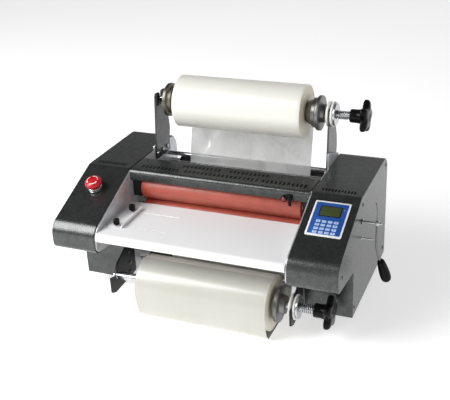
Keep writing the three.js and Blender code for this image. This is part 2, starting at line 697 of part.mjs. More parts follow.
function mandrel(level, place, leftSteps, rightSteps) {
  const { y, z, from, to } = place;
  const shaft = rodX(MANDREL_R, -204, 264, y, z, 16);
  const body = level === 'lower' ? join(shaft, rodX(LOWER_SLEEVE_R, -192, -133.6, y, z, 16)) : shaft;
  add(`${level}_mandrel_shaft`, body, 'zinc_steel');
  add(`${level}_left_chuck`, chuck(place, from, -1, leftSteps), 'grey_steel');
  add(`${level}_right_chuck`, chuck(place, to, 1, rightSteps), 'grey_steel');
  add(`${level}_film_roll`, filmRoll(place), 'film_roll');
  add(`${level}_bearing_collar`, bearingCollar(place), 'white_plastic');
  add(`${level}_tension_spring`, turnedX([
    [208.4, 7.2], [208.4, 9.4], [235.6, 9.4], [235.6, 7.2], [208.4, 7.2],
  ], y, z, 16), 'zinc_steel');
  add(`${level}_star_knob`, starKnob(place), 'black_plastic');
}

mandrel('upper', UPPER_MANDREL, WIDE_CHUCK, WIDE_CHUCK);
mandrel('lower', LOWER_MANDREL, SMALL_CHUCK, NEAR_CHUCK);

// ---------------------------------------------------------------- film webs
function filmWeb(path, x0, x1) {
  return extrudeX(sheet(path, FILM_T), x0, x1);
}

// The angle, round either circle, at which a film touches both on its way from one to the other.
function tangentAngle(from, to, side) {
  const reach = new THREE.Vector2(to.y - from.y, to.z - from.z);
  const turn = Math.acos((from.r - to.r) / reach.length());
  return THREE.MathUtils.radToDeg(Math.atan2(reach.y, reach.x) + side * turn);
}

const WEB_GAP = 0.4;
const upperRoll = { ...UPPER_MANDREL, r: FILM_ROLL_R + WEB_GAP };
const lowerRoll = { ...LOWER_MANDREL, r: FILM_ROLL_R + WEB_GAP };
const upperGuide = { ...UPPER_IDLER, r: UPPER_IDLER.r + WEB_GAP };
const lowerGuide = { ...LOWER_IDLER, r: LOWER_IDLER.r + WEB_GAP };
const upperTouch = tangentAngle(upperRoll, upperGuide, 1);
const lowerTouch = tangentAngle(lowerRoll, lowerGuide, -1);
const rollerFrontY = NIP.y - ROLLER_R - WEB_GAP - FILM_T;
const upperWeb = [
  ...arc(upperRoll.y, upperRoll.z, upperRoll.r, 8, upperTouch, 3),
  ...arc(upperGuide.y, upperGuide.z, upperGuide.r, upperTouch, -92, 8),
  new THREE.Vector2(60, 209),
];
const lowerWeb = [
  new THREE.Vector2(rollerFrontY, LOWER_ROLLER_Z),
  new THREE.Vector2(rollerFrontY, LOWER_ROLLER_Z - 12),
  ...arc(lowerGuide.y, lowerGuide.z, lowerGuide.r, 10, lowerTouch, 8),
  ...arc(lowerRoll.y, lowerRoll.z, lowerRoll.r, lowerTouch, -90, 2),
];
add('upper_film_web', filmWeb(upperWeb, UPPER_MANDREL.from, UPPER_MANDREL.to), 'film');
add('lower_film_web', filmWeb(lowerWeb, LOWER_MANDREL.from, LOWER_MANDREL.to), 'film');

// The lever grip reaches past the right housing, so the machine is moved left until its box is centred.
const extent = new THREE.Box3().setFromObject(machine);
machine.position.x = -(extent.min.x + extent.max.x) / 2;
export default machine;
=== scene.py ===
import math
import random

import bmesh
import bpy
from mathutils import Matrix, Vector, noise


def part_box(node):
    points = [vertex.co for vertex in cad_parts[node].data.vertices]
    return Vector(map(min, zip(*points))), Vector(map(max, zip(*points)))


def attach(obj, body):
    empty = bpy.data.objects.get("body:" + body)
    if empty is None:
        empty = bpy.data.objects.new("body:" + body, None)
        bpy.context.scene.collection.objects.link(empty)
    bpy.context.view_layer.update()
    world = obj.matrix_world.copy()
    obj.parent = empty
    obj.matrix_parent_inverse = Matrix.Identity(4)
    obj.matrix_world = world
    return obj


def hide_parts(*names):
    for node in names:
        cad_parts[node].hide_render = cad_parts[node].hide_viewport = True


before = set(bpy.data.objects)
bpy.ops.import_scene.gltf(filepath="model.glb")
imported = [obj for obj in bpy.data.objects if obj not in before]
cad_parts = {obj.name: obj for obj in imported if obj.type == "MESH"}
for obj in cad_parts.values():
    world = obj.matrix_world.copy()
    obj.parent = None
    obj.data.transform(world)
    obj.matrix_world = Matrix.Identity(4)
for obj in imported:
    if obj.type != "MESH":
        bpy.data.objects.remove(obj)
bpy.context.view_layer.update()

# Lengths are in millimetres in the machine's own frame, whose middle is x = 0, and become metres
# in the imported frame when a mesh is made.
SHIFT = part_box("left_housing_shell")[0].x + 0.300
random.seed(7)


def mm_box(node):
    lo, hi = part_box(node)
    return (
        Vector(((lo.x - SHIFT) * 1000, lo.y * 1000, lo.z * 1000)),
        Vector(((hi.x - SHIFT) * 1000, hi.y * 1000, hi.z * 1000)),
    )


def middle(node):
    lo, hi = mm_box(node)
    return (lo + hi) / 2


# ------------------------------------------------------------------ materials
class Nodes:
    """A principled material and short names for the nodes that feed it."""

    def __init__(self, name, color, roughness=0.4, metallic=0.0, **sockets):
        self.m = bpy.data.materials.new(name)
        self.m.use_nodes = True
        self.t = self.m.node_tree
        self.shader = self.t.nodes["Principled BSDF"]
        self.set("Base Color", (*color, 1))
        self.set("Roughness", roughness)
        self.set("Metallic", metallic)
        for key, value in sockets.items():
            self.set(key.replace("_", " "), value)
        self.coords = self.t.nodes.new("ShaderNodeTexCoord").outputs["Object"]

    def set(self, socket, value):
        self.shader.inputs[socket].default_value = value

    def link(self, output, socket):
        self.t.links.new(output, self.shader.inputs[socket])

    def node(self, kind, **inputs):
        n = self.t.nodes.new("ShaderNode" + kind)
        for key, value in inputs.items():
            s = n.inputs[key.replace("_", " ")]
            if isinstance(value, bpy.types.NodeSocket):
                self.t.links.new(value, s)
            else:
                s.default_value = value
        return n

    def stretched(self, x, y, z, origin=(0, 0, 0)):
        n = self.node("Mapping", Vector=self.coords)
        n.inputs["Scale"].default_value = (x, y, z)
        o = Vector(((origin[0] / 1000 + SHIFT) if origin != (0, 0, 0) else 0, origin[1] / 1000, origin[2] / 1000))
        n.inputs["Location"].default_value = (-o.x * x, -o.y * y, -o.z * z)
        return n.outputs[0]

    def noise(self, scale, detail=3.0, roughness=0.55, vector=None, distortion=0.0):
        v = vector or self.coords
        return self.node("TexNoise", Vector=v, Scale=scale, Detail=detail, Roughness=roughness,
                         Distortion=distortion).outputs["Fac"]

    def cells(self, scale, vector=None, smooth=0.5):
        n = self.t.nodes.new("ShaderNodeTexVoronoi")
        n.feature = "SMOOTH_F1"
        self.t.links.new(vector or self.coords, n.inputs["Vector"])
        n.inputs["Scale"].default_value = scale
        n.inputs["Smoothness"].default_value = smooth
        return n.outputs["Distance"]

    def ramp(self, fac, *stops):
        n = self.t.nodes.new("ShaderNodeValToRGB")
        self.t.links.new(fac, n.inputs[0])
        while len(n.color_ramp.elements) < len(stops):
            n.color_ramp.elements.new(0.5)
        for e, (pos, col) in zip(n.color_ramp.elements, stops):
            e.position = pos
            e.color = (*col, 1) if hasattr(col, "__len__") else (col, col, col, 1)
        return n.outputs[0]

    def maths(self, operation, a, b=0.0):
        n = self.t.nodes.new("ShaderNodeMath")
        n.operation = operation
        for s, v in zip(n.inputs, (a, b)):
            if isinstance(v, bpy.types.NodeSocket):
                self.t.links.new(v, s)
            else:
                s.default_value = v
        return n.outputs[0]

    def color(self, fac, *stops):
        self.link(self.ramp(fac, *stops), "Base Color")
        return self

    def rough(self, fac, low, high):
        self.link(self.ramp(fac, (0.3, low), (0.7, high)), "Roughness")
        return self

    def bump(self, height, strength, distance):
        n = self.node("Bump", Height=height, Strength=strength, Distance=distance)
        self.link(n.outputs[0], "Normal")
        return self

    def radius(self, origin):
        """Distance from an axis along X through origin, in metres."""
        n = self.t.nodes.new("ShaderNodeVectorMath")
        n.operation = "LENGTH"
        self.t.links.new(self.stretched(0, 1, 1, origin), n.inputs[0])
        return n.outputs["Value"]


def hammered_paint(name, low, high):
    n = Nodes(name, high, 0.3, 0.8, Specular_IOR_Level=0.5)
    cells = n.cells(620, smooth=0.8)
    drift = n.noise(60, 2)
    mix = n.maths("ADD", n.maths("MULTIPLY", cells, 0.6), n.maths("MULTIPLY", drift, 0.6))
    n.color(mix, (0.3, high), (0.75, low))
    n.rough(n.noise(420, 2), 0.24, 0.32)
    return n.bump(n.maths("ADD", cells, n.maths("MULTIPLY", n.noise(1500, 1), 0.2)), 0.22, 0.0004).m


def steel(name, dark, light, roughness=0.3, grain=(40, 900, 900), metallic=1.0):
    n = Nodes(name, light, roughness, metallic)
    g = n.noise(1.0, 4, 0.6, n.stretched(*grain))
    blotch = n.noise(35, 3)
    n.color(n.maths("ADD", n.maths("MULTIPLY", g, 0.5), n.maths("MULTIPLY", blotch, 0.5)), (0.3, dark), (0.7, light))
    n.rough(blotch, roughness * 0.8, min(1, roughness * 1.3))
    return n.bump(g, 0.12, 0.0003).m


def turned_steel(name, dark, light, roughness=0.34):
    n = Nodes(name, light, roughness, 0.9)
    rings = n.noise(1.0, 3, 0.7, n.stretched(1400, 25, 25))
    blotch = n.noise(70, 3)
    mix = n.maths("ADD", n.maths("MULTIPLY", rings, 0.4), n.maths("MULTIPLY", blotch, 0.6))
    n.color(mix, (0.3, dark), (0.7, light))
    n.rough(blotch, roughness * 0.8, roughness * 1.35)
    return n.bump(rings, 0.25, 0.0004).m


def plastic(name, color, roughness, speck=0.25, scale=1400, coat=0.0, specular=0.5):
    n = Nodes(name, color, roughness, 0, Coat_Weight=coat, Coat_Roughness=0.12, Specular_IOR_Level=specular)
    g = n.noise(scale, 2)
    lift = tuple(min(1, c * 1.18 + 0.003) for c in color)
    n.color(n.noise(45, 3), (0.35, color), (0.7, lift))
    n.rough(n.noise(90, 3), roughness * 0.85, min(1, roughness * 1.25))
    return n.bump(g, speck, 0.0002).m


def enamel():
    n = Nodes("white_enamel", (0.86, 0.865, 0.875), 0.4, 0)
    n.color(n.noise(5, 2), (0.35, (0.88, 0.885, 0.895)), (0.7, (0.86, 0.865, 0.875)))
    n.rough(n.noise(25, 2), 0.36, 0.42)
    return n.bump(n.noise(1100, 1), 0.04, 0.00015).m


def wound_film(name, low, high):
    n = Nodes(name, high, 0.3, 0, Coat_Weight=0.5, Coat_Roughness=0.14)
    bands = n.noise(1.0, 3, 0.5, n.stretched(55, 2, 2))
    haze = n.noise(5, 2)
    mix = n.maths("ADD", n.maths("MULTIPLY", bands, 0.25), n.maths("MULTIPLY", haze, 0.75))
    n.color(mix, (0.3, low), (0.7, high))
    n.rough(haze, 0.3, 0.32)
    return n.bump(n.noise(1.0, 2, 0.5, n.stretched(60, 3, 3)), 0.015, 0.0004).m


def film_edge(name, centre):
    n = Nodes(name, (0.78, 0.72, 0.55), 0.45, 0, Coat_Weight=0.2)
    r = n.radius(centre)
    rings = n.node("TexNoise", Scale=1900.0, Detail=2.0, Roughness=0.5)
    joined = n.t.nodes.new("ShaderNodeCombineXYZ")
    n.t.links.new(r, joined.inputs[0])
    n.t.links.new(joined.outputs[0], rings.inputs["Vector"])
    n.color(rings.outputs["Fac"], (0.3, (0.62, 0.56, 0.4)), (0.5, (0.74, 0.69, 0.53)), (0.72, (0.83, 0.79, 0.66)))
    return n.bump(rings.outputs["Fac"], 0.3, 0.0005).m


def clear_film(name, alpha_low, alpha_high, stretch, tint=(0.86, 0.87, 0.87)):
    n = Nodes(name, tint, 0.22, 0, Specular_IOR_Level=0.7)
    folds = n.noise(1.0, 3, 0.55, n.stretched(*stretch), distortion=0.6)
    n.link(n.ramp(folds, (0.34, alpha_low), (0.66, alpha_high)), "Alpha")
    n.color(folds, (0.3, tuple(c * 0.86 for c in tint)), (0.7, tint))
    n.rough(folds, 0.16, 0.34)
    n.m.surface_render_method = "DITHERED"
    return n.bump(folds, 0.35, 0.0015).m


def silicone():
    # Red silicone with its base set darker than the rollers' own coral red: painted shade for their recess under the
    # cover.
    n = Nodes("silicone_red", (0.5, 0.09, 0.06), 0.42, 0, Coat_Weight=0.15, Coat_Roughness=0.3)
    n.color(n.noise(40, 3), (0.35, (0.36, 0.045, 0.022)), (0.68, (0.45, 0.066, 0.034)))
    n.rough(n.noise(120, 3), 0.34, 0.52)
    return n.bump(n.noise(700, 2), 0.12, 0.0003).m


def board():
    n = Nodes("solder_mask", (0.02, 0.16, 0.06), 0.35, 0, Coat_Weight=0.3)
    n.color(n.noise(1.0, 1, 0.5, n.stretched(1, 240, 160)), (0.42, (0.012, 0.1, 0.04)), (0.52, (0.03, 0.2, 0.08)),
            (0.66, (0.02, 0.15, 0.06)))
    return n.m


def rubber():
    n = Nodes("rubber", (0.022, 0.022, 0.023), 0.75)
    n.color(n.noise(80, 4), (0.35, (0.016, 0.016, 0.017)), (0.7, (0.035, 0.035, 0.035)))
    return n.bump(n.noise(1500, 2), 0.35, 0.0003).m


def quartz():
    n = Nodes("quartz", (0.85, 0.86, 0.86), 0.3, 0, Alpha=0.6)
    return n.bump(n.noise(500, 2), 0.2, 0.0002).m


def floor_material():
    n = Nodes("studio_floor", (0.9, 0.9, 0.9), 0.6, 0, Emission_Color=(1, 1, 1, 1), Emission_Strength=0.55)
    n.color(n.noise(2.5, 3), (0.3, (0.9, 0.9, 0.9)), (0.7, (0.93, 0.93, 0.93)))
    return n.bump(n.noise(140, 3), 0.02, 0.0004).m


UPPER = middle("upper_film_roll")
LOWER = middle("lower_film_roll")
UPPER_FACES = (-140, 144.5)         # left and right faces of each film roll
LOWER_FACES = (-126, 154)
MAT = {
    "paint": hammered_paint("hammered_paint", (0.062, 0.065, 0.064), (0.112, 0.116, 0.114)),
    "bracket_paint": hammered_paint("bracket_paint", (0.065, 0.067, 0.067), (0.12, 0.122, 0.122)),
    "black_paint": plastic("black_paint", (0.009, 0.0095, 0.01), 0.36, 0.3, 700, 0.0, 0.25),
    "enamel": enamel(),
    "zinc": steel("zinc_plate", (0.42, 0.43, 0.45), (0.72, 0.73, 0.75), 0.24),
    "zinc_plate": steel("zinc_sheet", (0.5, 0.51, 0.53), (0.72, 0.73, 0.75), 0.36, (60, 60, 60), 0.55),
    "zinc_dark": steel("zinc_dark", (0.16, 0.16, 0.165), (0.3, 0.3, 0.31), 0.35),
    "grey_steel": steel("grey_steel", (0.12, 0.12, 0.125), (0.24, 0.24, 0.245), 0.36),
    "chuck": turned_steel("chuck_metal", (0.15, 0.15, 0.145), (0.28, 0.28, 0.27)),
    "bronze": turned_steel("chuck_bronze", (0.1, 0.095, 0.075), (0.21, 0.2, 0.165)),
    "silicone": silicone(),
    "wound": wound_film("wound_film", (0.75, 0.745, 0.68), (0.785, 0.78, 0.72)),
    "upper_edge": film_edge("upper_film_edge", (0, UPPER.y, UPPER.z)),
    "lower_edge": film_edge("lower_film_edge", (0, LOWER.y, LOWER.z)),
    # The core board is set lighter than bare cardboard: painted light that lifts the shade where the core shows beside
    # the chucks' necks.
    "core": plastic("core_board_lightened", (0.62, 0.56, 0.42), 0.8, 0.5, 500),
    # The hanging web takes a darker copy of the wound film's colour: painted shade for the web under the lower roll.
    "hanging": wound_film("hanging_film", (0.49, 0.485, 0.43), (0.53, 0.525, 0.475)),
    "film": clear_film("clear_film", 0.66, 0.86, (14, 7, 7), (0.6, 0.61, 0.605)),
    "roller_film": clear_film("roller_film", 0.05, 0.09, (3, 9, 9), (0.85, 0.55, 0.47)),
    "black": plastic("black_gloss", (0.0035, 0.0035, 0.0037), 0.13, 0.03, 900, 0.0, 0.12),
    "black_matt": plastic("black_matt", (0.012, 0.012, 0.0125), 0.5, 0.4, 1100, 0.0, 0.25),
    "white": plastic("white_nylon", (0.74, 0.735, 0.71), 0.36, 0.15, 1200),
    "red": plastic("stop_red", (0.42, 0.007, 0.013), 0.24, 0.05, 900, 0.0, 0.4),
    "mark_white": plastic("printed_white", (0.8, 0.8, 0.8), 0.4, 0.1),
    "keypad_blue": plastic("keypad_blue", (0.012, 0.075, 0.33), 0.4, 0.2, 2200),
    "key_pale": plastic("key_pale", (0.42, 0.55, 0.78), 0.34, 0.3, 2200),
    "lcd": plastic("lcd_olive", (0.05, 0.064, 0.022), 0.22, 0.05, 1500, 0.0, 0.3),
    "lcd_frame": plastic("lcd_frame", (0.012, 0.014, 0.012), 0.25, 0.1),
    "lens": plastic("dark_red_lens", (0.14, 0.004, 0.006), 0.1, 0.02, 900, 0.8),
    "brass": steel("brass_pin", (0.5, 0.38, 0.18), (0.72, 0.56, 0.3), 0.25),
    "rubber": rubber(),
    "quartz": quartz(),
    "board": board(),
}


# ------------------------------------------------------------------ mesh making
def add_mesh(name, verts, faces, mat, smooth=38, weld=True):
    mesh = bpy.data.meshes.new(name)
    mesh.from_pydata([(x / 1000 + SHIFT, y / 1000, z / 1000) for x, y, z in verts], [], faces)
    obj = bpy.data.objects.new(name, mesh)
    bpy.context.scene.collection.objects.link(obj)
    tidy(obj, smooth, weld)
    mesh.materials.append(MAT[mat])
    return obj


def tidy(obj, smooth=38, weld=True):
    """Welds, turns the faces outwards and sets smooth shading with sharp edges above an angle."""
    bm = bmesh.new()
    bm.from_mesh(obj.data)
    if weld:
        bmesh.ops.remove_doubles(bm, verts=bm.verts, dist=1e-6)
        bmesh.ops.recalc_face_normals(bm, faces=bm.faces)
    limit = math.radians(smooth)
    for f in bm.faces:
        f.smooth = True
    for e in bm.edges:
        e.smooth = len(e.link_faces) != 2 or e.calc_face_angle(0) < limit
    bm.to_mesh(obj.data)
    bm.free()


def baked(obj):
    """Applies the object's modifiers to its mesh."""
    dg = bpy.context.evaluated_depsgraph_get()
    mesh = bpy.data.meshes.new_from_object(obj.evaluated_get(dg))
    old = obj.data
    obj.modifiers.clear()
    obj.data = mesh
    bpy.data.meshes.remove(old)
    return obj


def round_edges(obj, width, segments):
    m = obj.modifiers.new("bevel", "BEVEL")
    m.width, m.segments = width / 1000, segments
    m.limit_method, m.angle_limit = "ANGLE", math.radians(32)


def flat_faces(obj):
    """Keeps large faces flat in their shading beside small round ones."""
    obj.modifiers.new("normals", "WEIGHTED_NORMAL").keep_sharp = True


def bevel(obj, width, segments=3):
    round_edges(obj, width, segments)
    baked(obj)
    tidy(obj, 30, weld=False)
    flat_faces(obj)
    return obj


def loft(name, rings, mat, caps=(True, True), loop=False, smooth=38):
    """Joins rings of points, each with the same count, into a skin."""
    n = len(rings[0])
    verts = [tuple(p) for r in rings for p in r]
    faces = []
    last = len(rings) if loop else len(rings) - 1
    for i in range(last):
        a, b = i * n, ((i + 1) % len(rings)) * n
        for k in range(n):
            faces.append((a + k, a + (k + 1) % n, b + (k + 1) % n, b + k))
    if not loop:
        if caps[0]:
            faces.append(tuple(range(n - 1, -1, -1)))
        if caps[1]:
            faces.append(tuple(range((len(rings) - 1) * n, len(rings) * n)))
    return add_mesh(name, verts, faces, mat, smooth)


def turns(count):
    """Cosine and sine of evenly spaced angles round a circle."""
    return [(math.cos(2 * math.pi * k / count), math.sin(2 * math.pi * k / count)) for k in range(count)]


def circle(axis, at, centre, radius, count=48):
    """A ring of points round an axis: at is its place along the axis, centre the other two coordinates."""
    pts = []
    for c, s in turns(count):
        u, v = centre[0] + radius * c, centre[1] + radius * s
        pts.append({"x": (at, u, v), "y": (u, at, v), "z": (u, v, at)}[axis])
    return pts


def turned(name, profile, centre, mat, axis="x", count=64, loop=False, smooth=38):
    """A turned piece: profile lists (place along the axis, radius)."""
    rings = [circle(axis, at, centre, max(r, 0.01), count) for at, r in profile]
    return loft(name, rings, mat, loop=loop, smooth=smooth)


def softened(profile, radius=0.8, steps=3):
    """Rounds the inner corners of an open profile."""
    out = [profile[0]]
    for before, at, after in zip(profile, profile[1:], profile[2:]):
        p, a, b = Vector(at), Vector(before), Vector(after)
        da, db = (a - p), (b - p)
        d = min(radius, da.length * 0.45, db.length * 0.45)
        if d < 0.05:
            out.append(at)
            continue
        s, e = p + da.normalized() * d, p + db.normalized() * d
        for k in range(steps + 1):
            t = k / steps
            q = s * (1 - t) ** 2 + p * (2 * t * (1 - t)) + e * t ** 2
            out.append((q.x, q.y))
    out.append(profile[-1])
    return out


def hoop(name, x0, x1, inner, outer, at, mat, count=48, soft=0.0):
    """A ring along X between two radii."""
    profile = [(x0, inner), (x0, outer), (x1, outer), (x1, inner)]
    return turned(name, softened(profile, soft) if soft else profile, (at.y, at.z), mat, count=count, loop=True)


def rod(name, x0, x1, radius, at, mat, count, soft):
    """A solid bar along X with eased ends."""
    return turned(name, softened([(x0, 0), (x0, radius), (x1, radius), (x1, 0)], soft), (at.y, at.z), mat, count=count)


def rounded(corners, step=6):
    """A closed (y, z) outline from corners (y, z, fillet radius)."""
    points = []
    count = len(corners)
    for i, (y, z, r) in enumerate(corners):
        p = Vector((y, z))
        back = (Vector(corners[i - 1][:2]) - p).normalized()
        ahead = (Vector(corners[(i + 1) % count][:2]) - p).normalized()
        if r < 0.05:
            points.append(p)
            continue
        half = math.acos(max(-1, min(1, back.dot(ahead)))) / 2
        start, end = p + back * (r / math.tan(half)), p + ahead * (r / math.tan(half))
        centre = p + (back + ahead).normalized() * (r / math.sin(half))
        sweep = math.pi - 2 * half
        steps = max(2, math.ceil(math.degrees(sweep) / step))
        s, e = start - centre, end - centre
        turn = math.copysign(1, s.x * e.y - s.y * e.x)
        for k in range(steps + 1):
            points.append(centre + Matrix.Rotation(turn * sweep * k / steps, 2) @ s)
    return points


def offset(points, d, closed=True):
    """The same outline moved to its left by d, with the same number of points."""
    out = []
    n = len(points)
    for i, p in enumerate(points):
        a = points[i - 1] if closed or i else None
        b = points[(i + 1) % n] if closed or i < n - 1 else None
        da = (p - a).normalized() if a is not None else (b - p).normalized()
        db = (b - p).normalized() if b is not None else da
        na, nb = Vector((-da.y, da.x)), Vector((-db.y, db.x))
        m = (na + nb).normalized()
        out.append(p + m * (d / max(0.35, m.dot(na))))
    return out


def arc(y, z, r, start, end, steps):
    return [Vector((y + r * math.cos(math.radians(start + (end - start) * k / steps)),
                    z + r * math.sin(math.radians(start + (end - start) * k / steps)))) for k in range(steps + 1)]


def extruded(name, outline, x0, x1, mat, smooth=30):
    return loft(name, [[(x, p[0], p[1]) for p in outline] for x in (x0, x1)], mat, smooth=smooth)


def bent_sheet(name, path, thickness, x0, x1, mat):
    """A sheet that follows a (y, z) path and runs along X; it lies to the left of the path."""
    inner = offset(path, thickness, closed=False)
    n = len(path)
    verts, faces = [], []
    for x in (x0, x1):
        verts += [(x, p.x, p.y) for p in path] + [(x, p.x, p.y) for p in inner]
    s = 2 * n
    for k in range(n - 1):
        faces += [(k, k + 1, n + k + 1, n + k), (s + k, s + k + 1, s + n + k + 1, s + n + k),
                  (k, k + 1, s + k + 1, s + k), (n + k, n + k + 1, s + n + k + 1, s + n + k)]
    for k in (0, n - 1):
        faces.append((k, n + k, s + n + k, s + k))
    return add_mesh(name, verts, faces, mat, 32)


def slot_rect(cx, cy, half_x, half_y, r, steps=5):
    """A rectangle with round corners, as (x, y) points."""
    pts = []
    for start, sx, sy in ((0, 1, 1), (90, -1, 1), (180, -1, -1), (270, 1, -1)):
        for k in range(steps + 1):
            a = math.radians(start + 90 * k / steps)
            pts.append((cx + sx * (half_x - r) + r * math.cos(a), cy + sy * (half_y - r) + r * math.sin(a)))
    return pts


def slot_points(cx, cy, half_x, half_y, steps=6):
    """A slot with round ends, long in whichever half is larger."""
    return slot_rect(cx, cy, half_x, half_y, min(half_x, half_y), steps)


def prism(pts, z0, z1):
    """Verts and faces of an upright prism over (x, y) points."""
    n = len(pts)
    verts = [(x, y, z0) for x, y in pts] + [(x, y, z1) for x, y in pts]
    faces = [tuple(range(n - 1, -1, -1)), tuple(range(n, 2 * n))]
    faces += [(k, (k + 1) % n, n + (k + 1) % n, n + k) for k in range(n)]
    return verts, faces


def crosswise(pts, x0, x1):
    """Verts and faces of a prism over (y, z) points that runs along X."""
    verts, faces = prism(pts, x0, x1)
    return [(b, y, z) for y, z, b in verts], faces


def merged(parts):
    verts, faces = [], []
    for v, f in parts:
        base = len(verts)
        verts += v
        faces += [tuple(base + i for i in face) for face in f]
    return verts, faces


def cut(obj, verts, faces):
    """Subtracts a set of prisms from the object."""
    tool = add_mesh("cutter", verts, faces, "black")
    m = obj.modifiers.new("cut", "BOOLEAN")
    m.object, m.operation, m.solver = tool, "DIFFERENCE", "EXACT"
    m.use_self = False
    baked(obj)
    bpy.data.objects.remove(tool)
    while len(obj.data.materials) > 1:
        obj.data.materials.pop(index=len(obj.data.materials) - 1)
    for p in obj.data.polygons:
        p.material_index = 0
    return obj


def box_verts(x0, x1, y0, y1, z0, z1):
    return prism([(x0, y0), (x1, y0), (x1, y1), (x0, y1)], z0, z1)


def block(name, x0, x1, y0, y1, z0, z1, mat, edge=0.6, segments=3):
    return bevel(add_mesh(name, *box_verts(x0, x1, y0, y1, z0, z1), mat), edge, segments)


def joined(name, objs):
    """Makes one object of several that share a body; each keeps its materials."""
    for o in objs:
        o.modifiers.clear()
    with bpy.context.temp_override(active_object=objs[0], selected_editable_objects=objs):
        bpy.ops.object.join()
    objs[0].name = name
    return objs[0]


def put(obj, body, slot, *nodes):
    """Hangs a piece on its CAD body and hides the CAD nodes it stands for."""
    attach(obj, body)
    if nodes:
        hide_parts(*nodes)
    return obj


def swept(name, path, radius, mat, count=10):
    """A round bar that follows a path of points."""
    rings = []
    normal = None
    for i, p in enumerate(path):
        ahead = (path[min(i + 1, len(path) - 1)] - path[max(i - 1, 0)]).normalized()
        if normal is None:
            normal = ahead.orthogonal().normalized()
        normal = (normal - ahead * normal.dot(ahead)).normalized()
        side = ahead.cross(normal)
        rings.append([p + (normal * c + side * s) * radius for c, s in turns(count)])
    return loft(name, rings, mat, smooth=60)


def screw(name, at, out, head_r, head_h, mat, kind="socket"):
    """A screw head standing on a surface: at is the middle of its seat, out the way it faces."""
    count = 24
    key = head_r * 0.5

    def ring(r, h, shape=lambda k: 1):
        return [(r * shape(k) * c, r * shape(k) * s, h) for k, (c, s) in enumerate(turns(count))]

    def hexagon(k):
        return math.cos(math.pi / 6) / math.cos(((2 * math.pi * k / count) % (math.pi / 3)) - math.pi / 6)

    def cross(k):
        return 1.0 if k % 6 == 0 else 0.36

    edge = min(0.3 * head_h, 0.18 * head_r)
    rings = [ring(head_r, -0.05), ring(head_r, head_h - edge)]
    if kind == "socket":
        rings += [ring(head_r - edge, head_h), ring(key, head_h, hexagon), ring(key, head_h * 0.35, hexagon)]
    else:
        rings += [ring(head_r * 0.8, head_h), ring(head_r * 0.5, head_h * 1.08, cross),
                  ring(head_r * 0.4, head_h * 0.5, cross)]
    rings.append(ring(0.01, rings[-1][0][2]))
    turn = Vector(out).to_track_quat("Z", "Y").to_matrix()
    placed = [[turn @ Vector(p) + Vector(at) for p in r] for r in rings]
    return loft(name, placed, mat, smooth=35)


# ------------------------------------------------------------------ dimensions shared with the solids
TOP_Z, REAR_Y, FRONT_Y, CREASE_Y = 266, 198, -198, -30
SLOPE = math.radians(22.15)
NOSE_TOP_Z = TOP_Z - (CREASE_Y - FRONT_Y) * math.tan(SLOPE)
OUTLINE = [(REAR_Y, 28, 4), (REAR_Y, TOP_Z, 33), (CREASE_Y, TOP_Z, 14), (FRONT_Y, NOSE_TOP_Z, 32),
           (FRONT_Y, 146, 17), (-86, 132, 5), (-86, 28, 2)]
PANEL_X, PANEL_Y, ESTOP_Y = 250.5, -90, -92
NIP = middle("upper_heating_roller").lerp(middle("lower_heating_roller"), 0.5)
HALF = 198.4


def hand(side):
    return "right" if side > 0 else "left"


def slope_point(x, y, u, v, w):
    """u across, v up the slope and w out of it, from the point of the slope at (x, y)."""
    z = TOP_Z - (CREASE_Y - y) * math.tan(SLOPE)
    c, s = math.cos(SLOPE), math.sin(SLOPE)
    return Vector((x + u, y + v * c - w * s, z + v * s + w * c))


# ------------------------------------------------------------------ side housings
def housing(side):
    outer = rounded(OUTLINE, 5)
    x_in, x_out, edge, skin = side * 202, side * 300, 1.8, 2.0
    rings = []
    for k in range(5):
        a = math.radians(90 * k / 4)
        x = x_out - side * edge * (1 - math.cos(a))
        rings.append([(x, p.x, p.y) for p in offset(outer, edge * (1 - math.sin(a)))])
    inner = offset(outer, skin)
    rings += [[(x_in, p.x, p.y) for p in outer], [(x_in, p.x, p.y) for p in inner],
              [(x_out - side * skin, p.x, p.y) for p in inner]]
    shell = loft(f"housing_{hand(side)}", rings, "paint", smooth=24)
    slots = [prism(slot_points(side * (PANEL_X + (i - 5) * 6.4), -13.5, 1.6, 6.6), TOP_Z - 8, TOP_Z + 5)
             for i in range(11)]
    if side < 0:
        inlet = mm_box("power_inlet")
        rocker = middle("power_switch")
        slots.append(box_verts(inlet[0].x - 0.3, inlet[1].x + 0.3, 190, 205, inlet[0].z - 0.3, inlet[1].z + 0.3))
        slots.append(box_verts(rocker.x - 11, rocker.x + 11, 190, 205, 102, 126))
    cut(shell, *merged(slots))
    tidy(shell, 24, weld=False)
    flat_faces(shell)
    put(shell, "frame", "housing_paint", hand(side) + "_housing_shell")


def panel_screws(side):
    heads = [screw("s", (side * 300, y, z), (side, 0, 0), 3.4, 1.5, "zinc_dark", "cross")
             for y, z in ((182, 246), (182, 46), (-72, 46), (-168, 168), (-20, 246))]
    put(joined(f"panel_screws_{hand(side)}", heads), "frame", "zinc_steel")


for side in (1, -1):
    housing(side)
for side in (1, -1):
    panel_screws(side)


